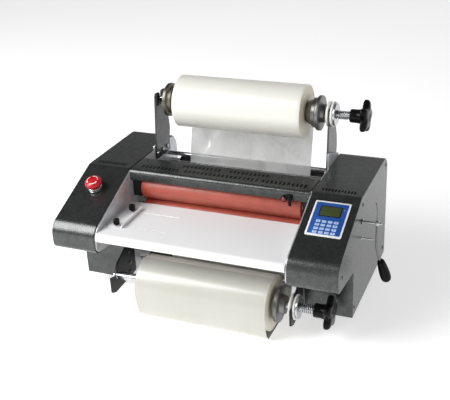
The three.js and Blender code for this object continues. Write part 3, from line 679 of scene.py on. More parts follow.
# ------------------------------------------------------------------ frame plates, base, rear cover
def frame_plate(side):
    node = hand(side) + "_frame_plate"
    lo, hi = mm_box(node)
    plate = extruded("frame_plate_" + hand(side), offset(rounded(OUTLINE, 5), 3), lo.x, hi.x, "zinc_plate")
    holes = []
    for bore, r, lift in (("upper_heating_roller", 15.4, 4), ("lower_heating_roller", 15.4, 0),
                          ("upper_pull_roller", 6.4, 0), ("lower_pull_roller", 6.4, 0),
                          ("upper_idler_roller", 4.4, 0), ("lower_idler_roller", 4.4, 0)):
        c = middle(bore)
        holes.append(crosswise(slot_points(c.y, c.z + lift / 2, r, r + lift / 2, 8), lo.x - 1, hi.x + 1))
    cut(plate, *merged(holes))
    ear_top = hi.z
    ear = rounded([(84, 262, 0), (162, 262, 0), (162, TOP_Z + 6, 3), (84, ear_top, 3)], 10)
    add = extruded("ear", ear, lo.x, hi.x, "zinc_plate")
    plate = joined(plate.name, [plate, add])
    tidy(plate, 30, weld=False)
    put(plate, "frame", "zinc_steel", node)


for side in (1, -1):
    frame_plate(side)
base_path = [Vector(p) for p in ((20, 42), (20, 31), (188, 31), (188, 42))]
base = bent_sheet("base_tray", base_path, 2, -HALF, HALF, "black_paint")
put(base, "frame", "black_steel", "base_plate")


def rear_cover():
    path = [Vector((182, 44)), *arc(190, 47, 3, 270, 360, 5), *arc(190, 146, 3, 0, 70, 5), Vector((182, 152))]
    cover = bent_sheet("rear_panel", path, 2, -HALF, HALF, "paint")
    louvres = []
    for row in (78, 96, 114):
        for i in range(9):
            x = (i - 4) * 30
            v, f = prism(slot_points(x, row, 9, 1.6), 185, 200)
            louvres.append(([(a, c, b) for a, b, c in v], f))
    cut(cover, *merged(louvres))
    tidy(cover, 30, weld=False)
    put(cover, "frame", "housing_paint", "rear_cover")
    heads = [screw("s", (x, 193, z), (0, 1, 0), 3.2, 1.4, "zinc_dark", "cross")
             for x in (-186, 186, 0) for z in (56, 138)]
    put(joined("rear_panel_screws", heads), "frame", "zinc_steel")


rear_cover()
bar = middle("spreader_bar")
put(rod("spreader", -HALF, HALF, 5, bar, "zinc", 32, 0.8), "frame", "zinc_steel", "spreader_bar")


# ------------------------------------------------------------------ top cover
def top_cover():
    path = [Vector((34, TOP_Z - 12)), *arc(31, TOP_Z - 3, 3, 0, 90, 6), *arc(-27, TOP_Z - 9, 9, 90, 180, 14),
            *arc(-34.5, TOP_Z - 21.5, 1.5, 180, 270, 4), Vector((-29, TOP_Z - 23))]
    cover = bent_sheet("cover", path, 2, -HALF, HALF, "paint")
    slots = []
    for first, last, count, y in ((-93, -13, 10, 13.5), (13, 93, 10, 13.5), (-178, -98, 10, -10.5),
                                  (-79, 79, 18, -10.5), (93, 182, 11, -10.5)):
        for i in range(count):
            x = first + (last - first) * i / (count - 1)
            slots.append(prism(slot_points(x, y, 1.9, 7), TOP_Z - 8, TOP_Z + 5))
    cut(cover, *merged(slots))
    tidy(cover, 30, weld=False)
    # A black matt sheet just under the vent slots: painted shade seen through them.
    vent_shade_sheet = block("vent_shade_sheet", -HALF + 4, HALF - 4, -24, 29, 259.4, 260.6, "black_matt", 0.3, 1)
    put(joined("cover", [cover, vent_shade_sheet]), "frame", "housing_paint", "top_cover")
    heads = [screw("s", (x, 24, TOP_Z), (0, 0, 1), 3.0, 1.3, "zinc_dark", "cross") for x in (-186, 186)]
    put(joined("cover_screws", heads), "frame", "zinc_steel")


top_cover()


def cover_catch():
    """The small fitting on the front of the cover: a dark red lens with a black hook beside it."""
    centre = (146, 247)
    rim = [(-42.2, 0.01), (-42.2, 5.2), (-41.4, 6.4), (-38.4, 6.4)]
    glass = [(-44.4, 0.01), (-44.0, 3.0), (-42.6, 4.4), (-41.8, 4.4)]
    back = turned("rim", softened(rim, 0.5), centre, "black", "y", 32)
    lens = turned("lens", softened(glass, 0.8), centre, "lens", "y", 32)
    hook = [(-38.4, 256), (-42, 255), (-44, 249), (-44.8, 241), (-43.5, 234), (-41.6, 233), (-41.2, 236),
            (-42, 243), (-41, 249), (-38.4, 251)]
    claw = extruded("hook", [Vector(p) for p in hook], 156, 162, "black")
    bevel(claw, 0.7, 2)
    bar = block("catch_bar", 150, 163, -41.5, -38.4, 250, 256, "black", 0.7)
    put(joined("cover_catch", [back, lens, bar, claw]), "frame", "black_plastic")


cover_catch()


# ------------------------------------------------------------------ tray and side guide
TRAY_Z = 192.5


def feed_tray():
    r, y = 10, FRONT_Y + 10
    path = [Vector((-36, TRAY_Z)), Vector((-110, TRAY_Z)), *arc(y, TRAY_Z - r, r, 90, 270, 24),
            Vector((-168, TRAY_Z - 20)), *arc(-168, TRAY_Z - 18, 2, 270, 360, 4), Vector((-166, TRAY_Z - 12))]
    tray = bent_sheet("tray", path, 1.6, -HALF, HALF, "enamel")
    cut(tray, *merged([prism(slot_points(-126, sy, 60, 1.5), TRAY_Z - 6, TRAY_Z + 5) for sy in (-80.5, -148)]))
    tidy(tray, 30, weld=False)
    put(tray, "frame", "white_enamel", "feed_tray")


feed_tray()


def side_guide():
    z = TRAY_Z + 0.3
    outline = [Vector((-190, z)), Vector((-159.8, z)), *arc(-160.4, z + 2.4, 2.4, 270, 360, 6), Vector((-158, z + 8))]
    inner = offset(outline, 1.6, closed=False)
    loop = [(p.x, p.y) for p in outline] + [(p.x, p.y) for p in reversed(inner)]
    rings = [[(x, y, zz) for x, zz in loop] for y in (-157, -66)]
    guide = loft("paper_guide_plate", rings, "enamel", smooth=30)
    put(guide, "paper_guide", "white_enamel", "side_guide")


side_guide()


def thumb_knob(node, body):
    c = middle(node)
    base = TRAY_Z + 2.2
    count = 72
    ridges = 24

    def ring(z, r, knurl):
        grip = [r + knurl * math.cos(ridges * 2 * math.pi * k / count) for k in range(count)]
        return [(c.x + g * u, c.y + g * v, z) for g, (u, v) in zip(grip, turns(count))]

    profile = [(0, 4.2, 0), (1.2, 4.4, 0), (1.6, 5.8, 0.1), (2.4, 6.2, 0.26), (11, 6.2, 0.26), (12.2, 5.8, 0.12),
               (13, 4.9, 0), (12.6, 3.6, 0), (12.5, 0.01, 0)]
    top = loft("knob", [ring(base + h, r, k) for h, r, k in profile], "black", smooth=50)
    stem = turned("stem", [(TRAY_Z - 12, 0), (TRAY_Z - 12, 1.5), (base + 0.1, 1.5), (base + 0.1, 0)], (c.x, c.y),
                  "zinc", "z", 16)
    nut = turned("nut", softened([(TRAY_Z - 7, 0), (TRAY_Z - 7, 4.4), (TRAY_Z - 1.9, 4.4), (TRAY_Z - 1.9, 0)], 0.5),
                 (c.x, c.y), "zinc", "z", 6)
    put(joined(node + "_piece", [top, stem, nut]), body, "black_plastic", node)


thumb_knob("guide_knob_rear", "rear_guide_knob")
thumb_knob("guide_knob_front", "front_guide_knob")


# ------------------------------------------------------------------ rollers
def roller(name, node, body, r, half, journal, bore=0, mat="silicone", count=96, slot="silicone_red"):
    lo, hi = mm_box(node)
    c = (lo + hi) / 2
    e = 1.2
    profile = [(-half, journal), (-half, r - e), (-half + e * 0.3, r - e * 0.3), (-half + e, r), (half - e, r),
               (half - e * 0.3, r - e * 0.3), (half, r - e), (half, journal)]
    sleeve = turned("sleeve", [*profile, (-half, journal)][:-1], (c.y, c.z), mat, count=count, loop=True)
    inner = bore if bore else 0.01
    shaft = turned("shaft", [(lo.x, inner), (lo.x, journal - 0.5), (lo.x + 0.5, journal), (hi.x - 0.5, journal),
                             (hi.x, journal - 0.5), (hi.x, inner)], (c.y, c.z), "zinc", count=48, loop=bool(bore))
    put(joined(name, [sleeve, shaft]), body, slot, node)


roller("roller_upper", "upper_heating_roller", "upper_roller", 27, 177, 15, 11)
roller("roller_lower", "lower_heating_roller", "lower_roller", 27, 177, 15, 11)
roller("pull_upper", "upper_pull_roller", "upper_pull", 11.85, 177, 6, mat="rubber", slot="rubber")
roller("idler_upper", "upper_idler_roller", "upper_idler", 7, 190, 4, mat="zinc", count=48, slot="zinc_steel")
roller("idler_lower", "lower_idler_roller", "lower_idler", 8, 190, 4, mat="zinc", count=48, slot="zinc_steel")


def lower_pull():
    """As the other pull roller, with the chain sprocket on its longer end."""
    roller("pull_lower", "lower_pull_roller", "lower_pull", 11.85, 177, 6, mat="rubber", slot="rubber")
    c = middle("upper_pull_roller")
    z = middle("lower_pull_roller").z
    count, teeth = 60, 10
    reach = [9.1 + 0.8 * math.cos(teeth * 2 * math.pi * i / count) for i in range(count)]
    rings = [[(x, c.y + r * k * u, z + r * k * v) for r, (u, v) in zip(reach, turns(count))]
             for x, k in ((217, 0.9), (218.2, 1), (221.8, 1), (223, 0.9))]
    put(loft("pull_sprocket", rings, "zinc"), "lower_pull", "zinc_steel")


lower_pull()
for node, body in (("upper_heater_tube", "roller_carriage"), ("lower_heater_tube", "frame")):
    c = middle(node)
    put(rod(node + "_glass", -224, 224, 5, c, "quartz", 24, 2), body, "quartz", node)


def bearing(node):
    lo, hi = mm_box(node)
    z = middle("upper_heating_roller").z
    outline = rounded([(lo.y, lo.z, 3), (hi.y, lo.z, 3), (hi.y, hi.z, 4), (lo.y, hi.z, 4)], 12)
    obj = extruded(node + "_block", outline, lo.x, hi.x, "black_matt")
    cut(obj, *crosswise(slot_points(NIP.y, z, 15.3, 15.3, 10), lo.x - 1, hi.x + 1))
    tidy(obj, 30, weld=False)
    put(obj, "roller_carriage", "black_steel", node)


bearing("left_bearing_slide")
bearing("right_bearing_slide")


# ------------------------------------------------------------------ gears, motor, chain, electrics
def soft_node(node, mat, width, segments):
    """Keeps a CAD node in place and gives it rounded edges and a finish."""
    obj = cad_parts[node]
    round_edges(obj, width, segments)
    obj.data.materials.clear()
    obj.data.materials.append(MAT[mat])
    for p in obj.data.polygons:
        p.material_index = 0


for node in ("lower_roller_gear", "upper_roller_gear", "motor_pinion", "drive_chain"):
    soft_node(node, "grey_steel", 0.25, 2)
soft_node("gear_motor", "grey_steel", 0.8, 3)
soft_node("control_board", "board", 0.2, 1)


def mains_inlet():
    lo, hi = mm_box("power_inlet")
    c = (lo + hi) / 2
    def ring(y, hx, z0, z1, r):
        pts = slot_rect(c.x, (z0 + z1) / 2, hx, (z1 - z0) / 2, r)
        return [(a, y, b) for a, b in pts]
    rings = [ring(lo.y, 15, 67, 91, 2), ring(hi.y - 0.5, 15, 67, 91, 2), ring(hi.y, 14.5, 67.5, 90.5, 1.6),
             ring(hi.y, 12.2, 70.8, 87.2, 2.2), ring(hi.y - 0.6, 12, 71, 87, 2), ring(hi.y - 14.8, 12, 71, 87, 2)]
    body = loft("inlet_body", rings, "black_matt", smooth=35)
    pins = [block("pin", c.x + dx - 1, c.x + dx + 1, hi.y - 14.9, hi.y - 2.5, 79 + dz - 2, 79 + dz + 2, "brass", 0.4, 2)
            for dx, dz in ((-6.5, -1.5), (0, 2.2), (6.5, -1.5))]
    put(joined("mains_inlet", [body, *pins]), "frame", "black_plastic", "power_inlet")


mains_inlet()


def rocker():
    """The mains rocker: a dished front between two low crests, tipped to off."""
    x, y, z, tip = middle("power_switch").x, 188, 114, math.radians(9)
    side = [(-9, -8), (9, -8), (9, 6.6)]
    side += [(9 - 18 * k / 12, 6.2 - 1.5 * math.sin(math.pi * k / 12)) for k in range(1, 12)]
    side += [(-9, 6.6)]

    def tipped(a, b):
        return y + b * math.cos(tip) - a * math.sin(tip), z + b * math.sin(tip) + a * math.cos(tip)

    obj = bevel(extruded("rocker", [Vector(tipped(a, b)) for a, b in side], x - 9.6, x + 9.6, "black"), 0.6, 3)
    marks = []
    for a, kind in ((5.2, "bar"), (-5.2, "ring")):
        def place(u, w, b):
            return (x + u, *tipped(a + w, b))

        depth = 5.55
        if kind == "bar":
            marks.append(loft("mark", [[place(u, w, d) for u, w in ((-0.4, -1.8), (0.4, -1.8), (0.4, 1.8), (-0.4, 1.8))]
                                       for d in (depth - 0.3, depth + 0.02)], "mark_white"))
        else:
            rings = [[place(r * c, r * s, d) for c, s in turns(24)]
                     for r, d in ((1.8, depth - 0.3), (1.8, depth + 0.02), (1.2, depth + 0.02), (1.2, depth - 0.3))]
            marks.append(loft("mark", rings, "mark_white", loop=True))
    put(joined("rocker_switch", [obj, *marks]), "mains_switch", "black_plastic", "power_switch")


rocker()


# ------------------------------------------------------------------ feet
for node in ("foot_front_left", "foot_front_right", "foot_rear_left", "foot_rear_right"):
    c = middle(node)
    profile = [(0, 0), (0, 12), (0.6, 13.6), (2, 14.6), (6, 15), (22, 13.2), (26, 13), (27.7, 13), (27.7, 0)]
    put(turned(node + "_rubber", profile, (c.x, c.y), "rubber", "z", 48), "frame", "rubber", node)


# ------------------------------------------------------------------ keypad and display
def slope_plate(name, cu, cv, hu, hv, r, w0, w1, mat, edge=0.25, dome=0.0):
    """A thin plate with round corners on the keypad's slope; a dome makes its top swell."""
    def ring(shrink, w):
        return [slope_point(PANEL_X, PANEL_Y, cu + a, cv + b, w)
                for a, b in slot_rect(0, 0, hu - shrink, hv - shrink, max(0.15, r - shrink))]
    rings = [ring(0, w0), ring(0, w1 - edge), ring(edge * 0.35, w1 - edge * 0.3), ring(edge, w1)]
    if dome:
        rings += [ring(min(hu, hv) * f, w1 + dome * g) for f, g in ((0.35, 0.6), (0.65, 0.92), (0.85, 1.0))]
    return loft(name, rings, mat, smooth=40)


def keypad():
    top = 1.5
    parts = [slope_plate("overlay", 0, 0, 35, 43.5, 2.5, 0.3, top, "mark_white"),
             slope_plate("field", 0, 0.4, 31.6, 39.6, 1.6, top - 0.1, top + 0.08, "keypad_blue", 0.06)]
    for row in range(4):
        for col in range(4):
            u, v = -17.4 + col * 11.6, -7.6 - row * 9.0
            parts.append(slope_plate("key", u, v, 4.3, 2.9, 0.9, top, top + 0.3, "key_pale", 0.12, 0.25))
            parts += key_mark(u, v, row * 4 + col, top + 0.55)
    for i in range(3):
        parts.append(slope_plate("dot", 25.5, 26 - 7 * i, 0.9, 0.9, 0.89, top, top + 0.3,
                                 "lens" if i else "key_pale", 0.1, 0.2))
    put(joined("keypad", parts), "frame", "keypad_blue", "membrane_keypad")
    screen = [slope_plate("bezel", 0, 18, 21.5, 13.5, 1.2, 1.7, 2.1, "lcd_frame", 0.15),
              slope_plate("glass", 0, 18, 19.2, 11.2, 0.6, 2.0, 2.35, "lcd", 0.1)]
    put(joined("display", screen), "frame", "lcd", "lcd_window")


def key_mark(u, v, index, w):
    """A plain printed sign on a key: plus, minus, two bars or a square."""
    shapes = {
        0: [(-1.5, -0.25, 1.5, 0.25), (-0.25, -1.5, 0.25, 1.5)], 1: [(-1.5, -0.25, 1.5, 0.25)],
        2: [(-1.4, -1.2, -0.9, 1.2), (0.9, -1.2, 1.4, 1.2)], 3: [(-1.2, -1.2, 1.2, 1.2)],
    }[index % 4]
    return [slope_plate("mark", u + (a + c) / 2, v + (b + d) / 2, (c - a) / 2, (d - b) / 2, 0.1, w - 0.1, w + 0.03,
                        "keypad_blue", 0.02) for a, b, c, d in shapes]


keypad()


# ------------------------------------------------------------------ stop button
def estop():
    def ring(r, w):
        return [slope_point(-PANEL_X, ESTOP_Y, r * c, r * s, w) for c, s in turns(64)]

    collar = loft("collar", [ring(r, w) for w, r in ((0.3, 7.2), (0.3, 14.6), (0.9, 15), (3.2, 15), (3.6, 14.5),
                                                    (3.9, 14.5), (4.3, 15), (7.6, 15), (8.6, 14.2), (9.5, 12.6),
                                                    (9.5, 7.2))],
                  "zinc", loop=True, smooth=35)
    gasket = loft("gasket", [ring(r, w) for w, r in ((0.05, 14), (0.05, 16.6), (0.9, 16.2), (0.9, 14))], "black_matt",
                  loop=True)
    put(joined("stop_collar", [collar, gasket]), "frame", "zinc_steel", "estop_collar")
    dome = [(-24, 0.01), (-24, 6.3), (13.8, 6.3), (13.8, 16.6), (14.4, 17.4), (15.4, 17.9), (17.5, 18), (19.4, 17.8),
            (21.2, 17), (22.9, 15.6), (24.2, 13.6), (25.2, 10.8), (25.9, 7.6), (26.3, 4), (26.45, 0.01)]
    head = loft("head", [ring(r, w) for w, r in dome], "red", smooth=40)

    def height(r):
        outer = dome[7:]
        for (w0, r0), (w1, r1) in zip(outer, outer[1:]):
            if r1 <= r <= r0:
                return w0 + (w1 - w0) * (r0 - r) / (r0 - r1)
        return 26.45

    marks = []
    for i in range(3):
        start = math.radians(20 + 120 * i)
        verts, faces = [], []
        steps = 22
        for k in range(steps + 1):
            t = k / steps
            half = 0.75 if t < 0.8 else 2.1 * (1 - t) / 0.2
            for j in range(3):
                r = 11.2 + half * (j - 1)
                a = start + math.radians(92) * t
                verts.append(slope_point(-PANEL_X, ESTOP_Y, r * math.cos(a), r * math.sin(a), height(r) + 0.07))
        for k in range(steps):
            for j in range(2):
                b = k * 3 + j
                faces.append((b, b + 1, b + 4, b + 3))
        arrow = add_mesh("arrow", verts, faces, "mark_white")
        s = arrow.modifiers.new("thick", "SOLIDIFY")
        s.thickness, s.offset = 0.00012, -1
        marks.append(baked(arrow))
    put(joined("stop_head", [head, *marks]), "stop_button", "red_plastic", "estop_head")


estop()


# ------------------------------------------------------------------ pressure lever
LEVER = Vector((330, -27, 214))


def pressure_lever():
    y, z = LEVER.y, LEVER.z
    shaft = turned("shaft", softened([(224, 0), (224, 2.6), (338.4, 2.6), (339, 2.2), (339, 0)], 0.5), (y, z), "zinc",
                   count=32)
    cam = rod("cam", 226, 234, 11, LEVER + Vector((0, 4, 0)), "zinc", 48, 0.6)
    boss = turned("boss", softened([(326.8, 2.6), (326.8, 5), (327.4, 5.6), (332.6, 5.6), (333.2, 5), (333.2, 2.6)],
                                   0.5), (y, z), "zinc", count=48, loop=True)
    washer = hoop("washer", 301, 302.2, 3.2, 5.2, LEVER, "zinc", 40)
    path = [Vector((x, 0, h)) for x, h in ((330, 214), (330, 195), (330, 172), (330.6, 162), (332, 152), (334, 145),
                                           (336.2, 140), (338.3, 136.2))]
    rings = []
    for i, p in enumerate(path):
        ahead = (path[min(i + 1, len(path) - 1)] - path[max(i - 1, 0)]).normalized()
        side = Vector((ahead.z, 0, -ahead.x))
        rings.append([(p.x + side.x * b, y + a, p.z + side.z * b) for a, b in slot_rect(0, 0, 4.3, 1.8, 0.7, 3)])
    arm = loft("arm", rings, "grey_steel", smooth=40)
    put(joined("lever_arm", [arm, shaft, cam, boss, washer]), "pressure_lever", "zinc_steel", "pressure_lever_arm")
    lean = math.radians(18.5)
    down = Vector((math.sin(lean), 0, -math.cos(lean)))
    across = Vector((math.cos(lean), 0, math.sin(lean)))
    top = Vector((338.4, y, 135.6))
    profile = [(0, 0.01), (0, 4.6), (0.6, 5.8), (1.6, 6.2), (2.2, 6.0), (2.9, 6.9), (6, 7.8), (14, 9.1), (22, 10.0),
               (30, 10.6), (36, 10.6), (40.5, 10.2), (44, 9.2), (46.6, 7.4), (48.4, 4.9), (49.3, 2.3), (49.6, 0.01)]
    rings = [[top + down * h + across * (r * c) + Vector((0, r * s, 0)) for c, s in turns(48)] for h, r in profile]
    grip = loft("lever_grip", rings, "black", smooth=42)
    put(grip, "pressure_lever", "black_plastic", "pressure_lever_grip")
    stop = turned("stop", softened([(299.5, 0), (299.5, 3.8), (301, 3.8), (301.2, 1.8), (323.6, 1.8), (324, 1.5),
                                    (324, 0)], 0.4), (y, 178), "zinc", count=32)
    bush = hoop("bush", 299.5, 300.7, 3, 5.6, LEVER, "black_matt", 40, 0.3)
    put(joined("lever_stop", [stop, bush]), "frame", "zinc_steel")


pressure_lever()


def lever_mark():
    """A thin dark curved double arrow laid on the side panel beside the lever."""
    centre, radius = Vector((60, 158)), 52
    verts, faces = [], []
    steps = 40
    for k in range(steps + 1):
        t = k / steps
        end = min(t, 1 - t)
        half = 0.9 if end > 0.16 else 3.2 * end / 0.16
        a = math.radians(-14 + 66 * t)
        for j in (-1, 1):
            r = radius + half * j
            verts.append((300.15, centre.x + r * math.cos(a), centre.y + r * math.sin(a)))
    for k in range(steps):
        b = 2 * k
        faces.append((b, b + 1, b + 3, b + 2))
    mark = add_mesh("lever_arrow", verts, faces, "black_matt")
    s = mark.modifiers.new("thick", "SOLIDIFY")
    s.thickness, s.offset = 0.0001, 0
    put(baked(mark), "frame", "black_plastic")


lever_mark()


# ------------------------------------------------------------------ roll stands
def upright(side):
    name = hand(side)
    lo, hi = mm_box(name + "_upright")
    y, z = UPPER.y, UPPER.z
    outline = rounded([(88, 240, 3), (154, 240, 3), (154, 266, 12), (160, 292, 18), (157, 318, 18), (144, 350, 18),
                       (y + 20, z + 16, 5), (y + 9, z + 16, 4), (y + 9, z, 0), (y - 9, z, 0),
                       (y - 9, z + 16, 4), (y - 20, z + 16, 5), (88, 266, 30)], 5)
    plate = extruded(name + "_stand", outline, lo.x, hi.x, "bracket_paint")
    cut(plate, *crosswise(slot_points(y, z, 9, 9, 10), lo.x - 1, hi.x + 1))
    bevel(plate, 0.7, 3)
    put(plate, "frame", "grey_steel", name + "_upright")
    parts = [screw("s", (side * 194.7, yy, 254), (-side, 0, 0), 4.2, 3.2, "zinc") for yy in (92, 115, 138)]
    if side < 0:
        cradle = [(y - 24, z - 9, 2), (y - 24, z + 15, 4), (y - 9.4, z + 20, 4), (y - 9.4, z, 0), (y + 9.4, z, 0),
                  (y + 9.4, z + 18, 4), (y + 21, z + 18, 4), (y + 21, z - 9, 2)]
        holder = extruded("cradle", rounded(cradle, 8), -194.4, -189.4, "black_matt")
        cut(holder, *crosswise(slot_points(y, z, 9.4, 9.4, 10), -195, -188))
        parts.append(bevel(holder, 0.6, 2))
        parts += [screw("s", (-189.4, y + dy * 16, z - 3), (1, 0, 0), 2.6, 1.4, "zinc_dark") for dy in (-1, 1)]
    put(joined(name + "_stand_fittings", parts), "frame", "black_plastic")


for side in (1, -1):
    upright(side)


def lower_bracket(side):
    name = hand(side)
    lo, hi = mm_box(name + "_lower_bracket")
    y, z = LOWER.y, LOWER.z
    outline = rounded([(-56, 34, 3), (-56, 122, 4), (-92, 108, 6), (-133, 89, 4), (-137, 78, 2), (y - 4, z, 0),
                       (y - 17, 68, 2), (y - 30, 72, 2), (y - 30, 36, 3), (y - 16, 30, 3)], 6)
    plate = extruded(name + "_hook", outline, lo.x, hi.x, "black_paint")
    cut(plate, *crosswise(slot_points(y, z, 9, 9, 10), lo.x - 1, hi.x + 1))
    bevel(plate, 0.7, 3)
    put(plate, "frame", "black_steel", name + "_lower_bracket")
    heads = [screw("s", (side * 194.7, -80, zz), (-side, 0, 0), 3.6, 2.6, "grey_steel") for zz in (91, 67, 44)]
    put(joined(name + "_hook_screws", heads), "frame", "zinc_steel")


for side in (1, -1):
    lower_bracket(side)


# ------------------------------------------------------------------ mandrels, chucks and film rolls
BORE_R = 6.9        # clear of the mandrel, for what sits on it
# Chuck profiles, as (distance out from the roll's face, radius).
WIDE = [(-11, 16), (0.3, 18.5), (6, 18.8), (6, 25), (15, 26), (15, 31), (23, 31), (25, 36.5), (32, 36.5),
        (32, 20), (40, 18)]
NEAR = [(-11, 16), (0.3, 18.5), (3, 19), (3, 31), (8, 32), (8, 36.5), (16, 36.5), (16, 20), (26, 18)]
SMALL = [(-11, 16), (0.3, 18.5), (2, 19), (2, 23), (7, 23)]


def chuck(node, face, side, steps, at, mat, body, screws=True):
    """A stepped chuck that grips the core; its steps run outward from the roll's face."""
    profile = [(steps[0][0], BORE_R)] + steps + [(steps[-1][0], BORE_R)]
    rounded_steps = softened(profile, 0.9, 3)
    ring = [(face + side * s, r) for s, r in rounded_steps]
    parts = [turned("chuck", ring, (at.y, at.z), mat, count=96, loop=True, smooth=32)]
    if screws:
        hub = steps[-2]
        for a in (60, 240):
            d = Vector((0, math.cos(math.radians(a)), math.sin(math.radians(a))))
            p = Vector((face + side * (hub[0] + 4.5), at.y, at.z)) + d * (hub[1] - 1.2)
            parts.append(screw("grub", p, d, 2.4, 0.9, "zinc_dark"))
    put(joined(node + "_fine", parts), body, "grey_steel", node)


def film_roll(node, body, edge_mat):
    """The wound film on its core: fine wraps on the faces, a slight crown left by winding."""
    lo, hi = mm_box(node)
    c = (lo + hi) / 2
    rng = random.Random(node)
    radius = (hi.y - lo.y) / 2
    core_in, core_out = 20.0, 24.5
    width = hi.x - lo.x
    stations = [lo.x + 0.9 + (width - 1.8) * k / 40 for k in range(41)]
    rings = [(lo.x + 0.25, radius - 1.2), (lo.x + 0.35, radius - 0.45)]
    for i, x in enumerate(stations):
        t = i / 40
        ridge = 0.03 * math.sin(17 * t + 1.3) * math.sin(7.0 * t) + 0.002 * rng.uniform(-1, 1)
        rings.append((x, radius - 0.1 + min(0.08, ridge)))
    rings += [(hi.x - 0.35, radius - 0.45), (hi.x - 0.25, radius - 1.2)]
    skin = turned("wraps", rings + [(hi.x - 0.25, radius - 2.4), (lo.x + 0.25, radius - 2.4)], (c.y, c.z), "wound",
                  count=160, loop=True, smooth=40)
    face = []
    for x, side in ((lo.x, -1), (hi.x, 1)):
        steps = [core_out] + [core_out + (radius - 2.0 - core_out) * k / 34 for k in range(1, 35)]
        ring = [(x - side * (0.35 + 0.22 * rng.random()), r) for r in steps]
        ring = [(x - side * 3.0, core_out)] + ring + [(x - side * 0.9, radius - 1.2), (x - side * 3.0, radius - 1.2)]
        face.append(turned("side", ring, (c.y, c.z), edge_mat, count=128, loop=True, smooth=60))
    core = hoop("core", lo.x, hi.x, core_in, core_out, c, "core", 72, 0.4)
    put(joined(node + "_fine", [skin, *face, core]), body, "film_roll", node)


def collar(node, at, body):
    """The bearing collar in its cradle: two white flanged rings with a grey washer outside."""
    white = [[(189.5, BORE_R), (189.5, 24), (190.2, 26), (193.6, 26), (194.2, 25.2), (194.2, 8.6), (196, 8.6),
              (196, BORE_R)],
             [(197, BORE_R), (197, 8.6), (198.9, 8.6), (198.9, 25.2), (199.5, 26), (202.4, 26), (203, 25.2), (203, BORE_R)]]
    parts = [turned("ring", softened(p, 0.5, 2), (at.y, at.z), "white", count=96, loop=True, smooth=32) for p in white]
    parts.append(hoop("sleeve", 195.8, 197.2, 6.95, 8.5, at, "white"))
    parts.append(turned("washer", softened([(203.2, BORE_R), (203.2, 23.2), (208, 23.5), (208, BORE_R)], 0.6, 2),
                        (at.y, at.z), "zinc", count=72, loop=True))
    put(joined(node + "_fine", parts), body, "white_plastic", node)


def spring(node, at, body):
    """A compression spring between two washers."""
    lo, hi = 208.4, 235.6
    turns, wire = 5.5, 1.25
    x0, x1 = lo + 1.2 + wire, hi - 1.2 - wire
    path = []
    steps = int(turns * 26)
    for k in range(steps + 1):
        t = k / steps
        a = 2 * math.pi * turns * t
        x = x0 + (x1 - x0) * t
        path.append(Vector((x, at.y + 8.2 * math.cos(a), at.z + 8.2 * math.sin(a))))
    coil = swept("coil", path, wire, "zinc", 10)
    washers = [hoop("washer", a, a + 1.1, BORE_R, 9.4, at, "zinc", 40) for a in (lo, hi - 1.1)]
    put(joined(node + "_fine", [coil, *washers]), body, "zinc_steel", node)


def star_knob(node, at, body):
    """A glossy five-lobed clamping knob with a swelling face and a hub that presses the spring."""
    count, lobes = 100, 5

    def ring(x, scale, depth=1.0):
        pts = []
        for k, (c, s) in enumerate(turns(count)):
            r = (29.5 + 5.5 * depth * math.cos(lobes * (2 * math.pi * k / count))) * scale
            pts.append((x, at.y + r * c, at.z + r * s))
        return pts

    swell = ((260.8, 0.42, 0), (261, 0.86), (261.4, 0.93), (262.6, 0.98), (264.2, 1.0), (267.6, 1.0), (269.8, 0.985),
             (271.8, 0.945), (273.4, 0.88), (274.6, 0.78), (275.3, 0.62, 0.8), (275.5, 0.45, 0.4), (275.5, 0.3, 0))
    rings = [ring(*step) for step in swell]
    lobe = loft("lobes", rings, "black", smooth=60)
    hub = turned("hub", softened([(236, BORE_R), (236, 12.6), (237.5, 14), (250, 14), (257, 14.8), (261.4, 17.5),
                                  (261.4, BORE_R)], 1.0, 3), (at.y, at.z), "black", count=64, loop=True)
    cap = turned("cap", [(274.9, 0.01), (274.9, 9.2), (275.6, 9.0), (275.6, 0.01)], (at.y, at.z), "black_matt",
                 count=48)
    put(joined(node + "_fine", [lobe, hub, cap]), body, "black_plastic", node)


def mandrel_shaft(node, at, body):
    lo, hi = mm_box(node)
    parts = [rod("bar", lo.x, hi.x, 6.5, at, "zinc", 48, 0.9)]
    if at is LOWER:
        parts.append(hoop("sleeve", -192, -133.8, 6.4, 8.6, at, "zinc", soft=0.5))
    for x in (lo.x + 3.2,) if at is LOWER else (lo.x + 17.5, lo.x + 3.2):
        parts.append(hoop("ring", x, x + 1.6, 6.4, 8.6, at, "zinc", soft=0.3))
    put(joined(node + "_fine", parts), body, "zinc_steel", node)


for level, at, left, right, steps in (("upper", UPPER, *UPPER_FACES, (WIDE, WIDE)),
                                      ("lower", LOWER, *LOWER_FACES, (SMALL, NEAR))):
    body = level + "_mandrel"
    film_roll(level + "_film_roll", body, level + "_edge")
    for name, face, side, profile, mat in (("left", left, -1, steps[0], "bronze" if level == "upper" else "chuck"),
                                          ("right", right, 1, steps[1], "chuck")):
        chuck(f"{level}_{name}_chuck" if f"{level}_{name}_chuck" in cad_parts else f"{name}_{level}_chuck",
              face, side, profile, at, mat, body, screws=profile is not SMALL)
    mandrel_shaft(level + "_mandrel_shaft", at, body)
    collar(level + "_bearing_collar", at, "frame")
    spring(level + "_tension_spring", at, body)
    star_knob(level + "_star_knob", at, level + "_brake_knob")


# ------------------------------------------------------------------ clear film
def touch(a, ra, b, rb, side):
    """Angle at which a straight web leaves circle a for circle b, both wound on the same side."""
    reach = Vector(b) - Vector(a)
    return math.degrees(math.atan2(reach.y, reach.x) + side * math.acos((ra - rb) / reach.length))


def resampled(path, step):
    out = [path[0]]
    for a, b in zip(path, path[1:]):
        n = max(1, math.ceil((b - a).length / step))
        out += [a.lerp(b, k / n) for k in range(1, n + 1)]
    return out


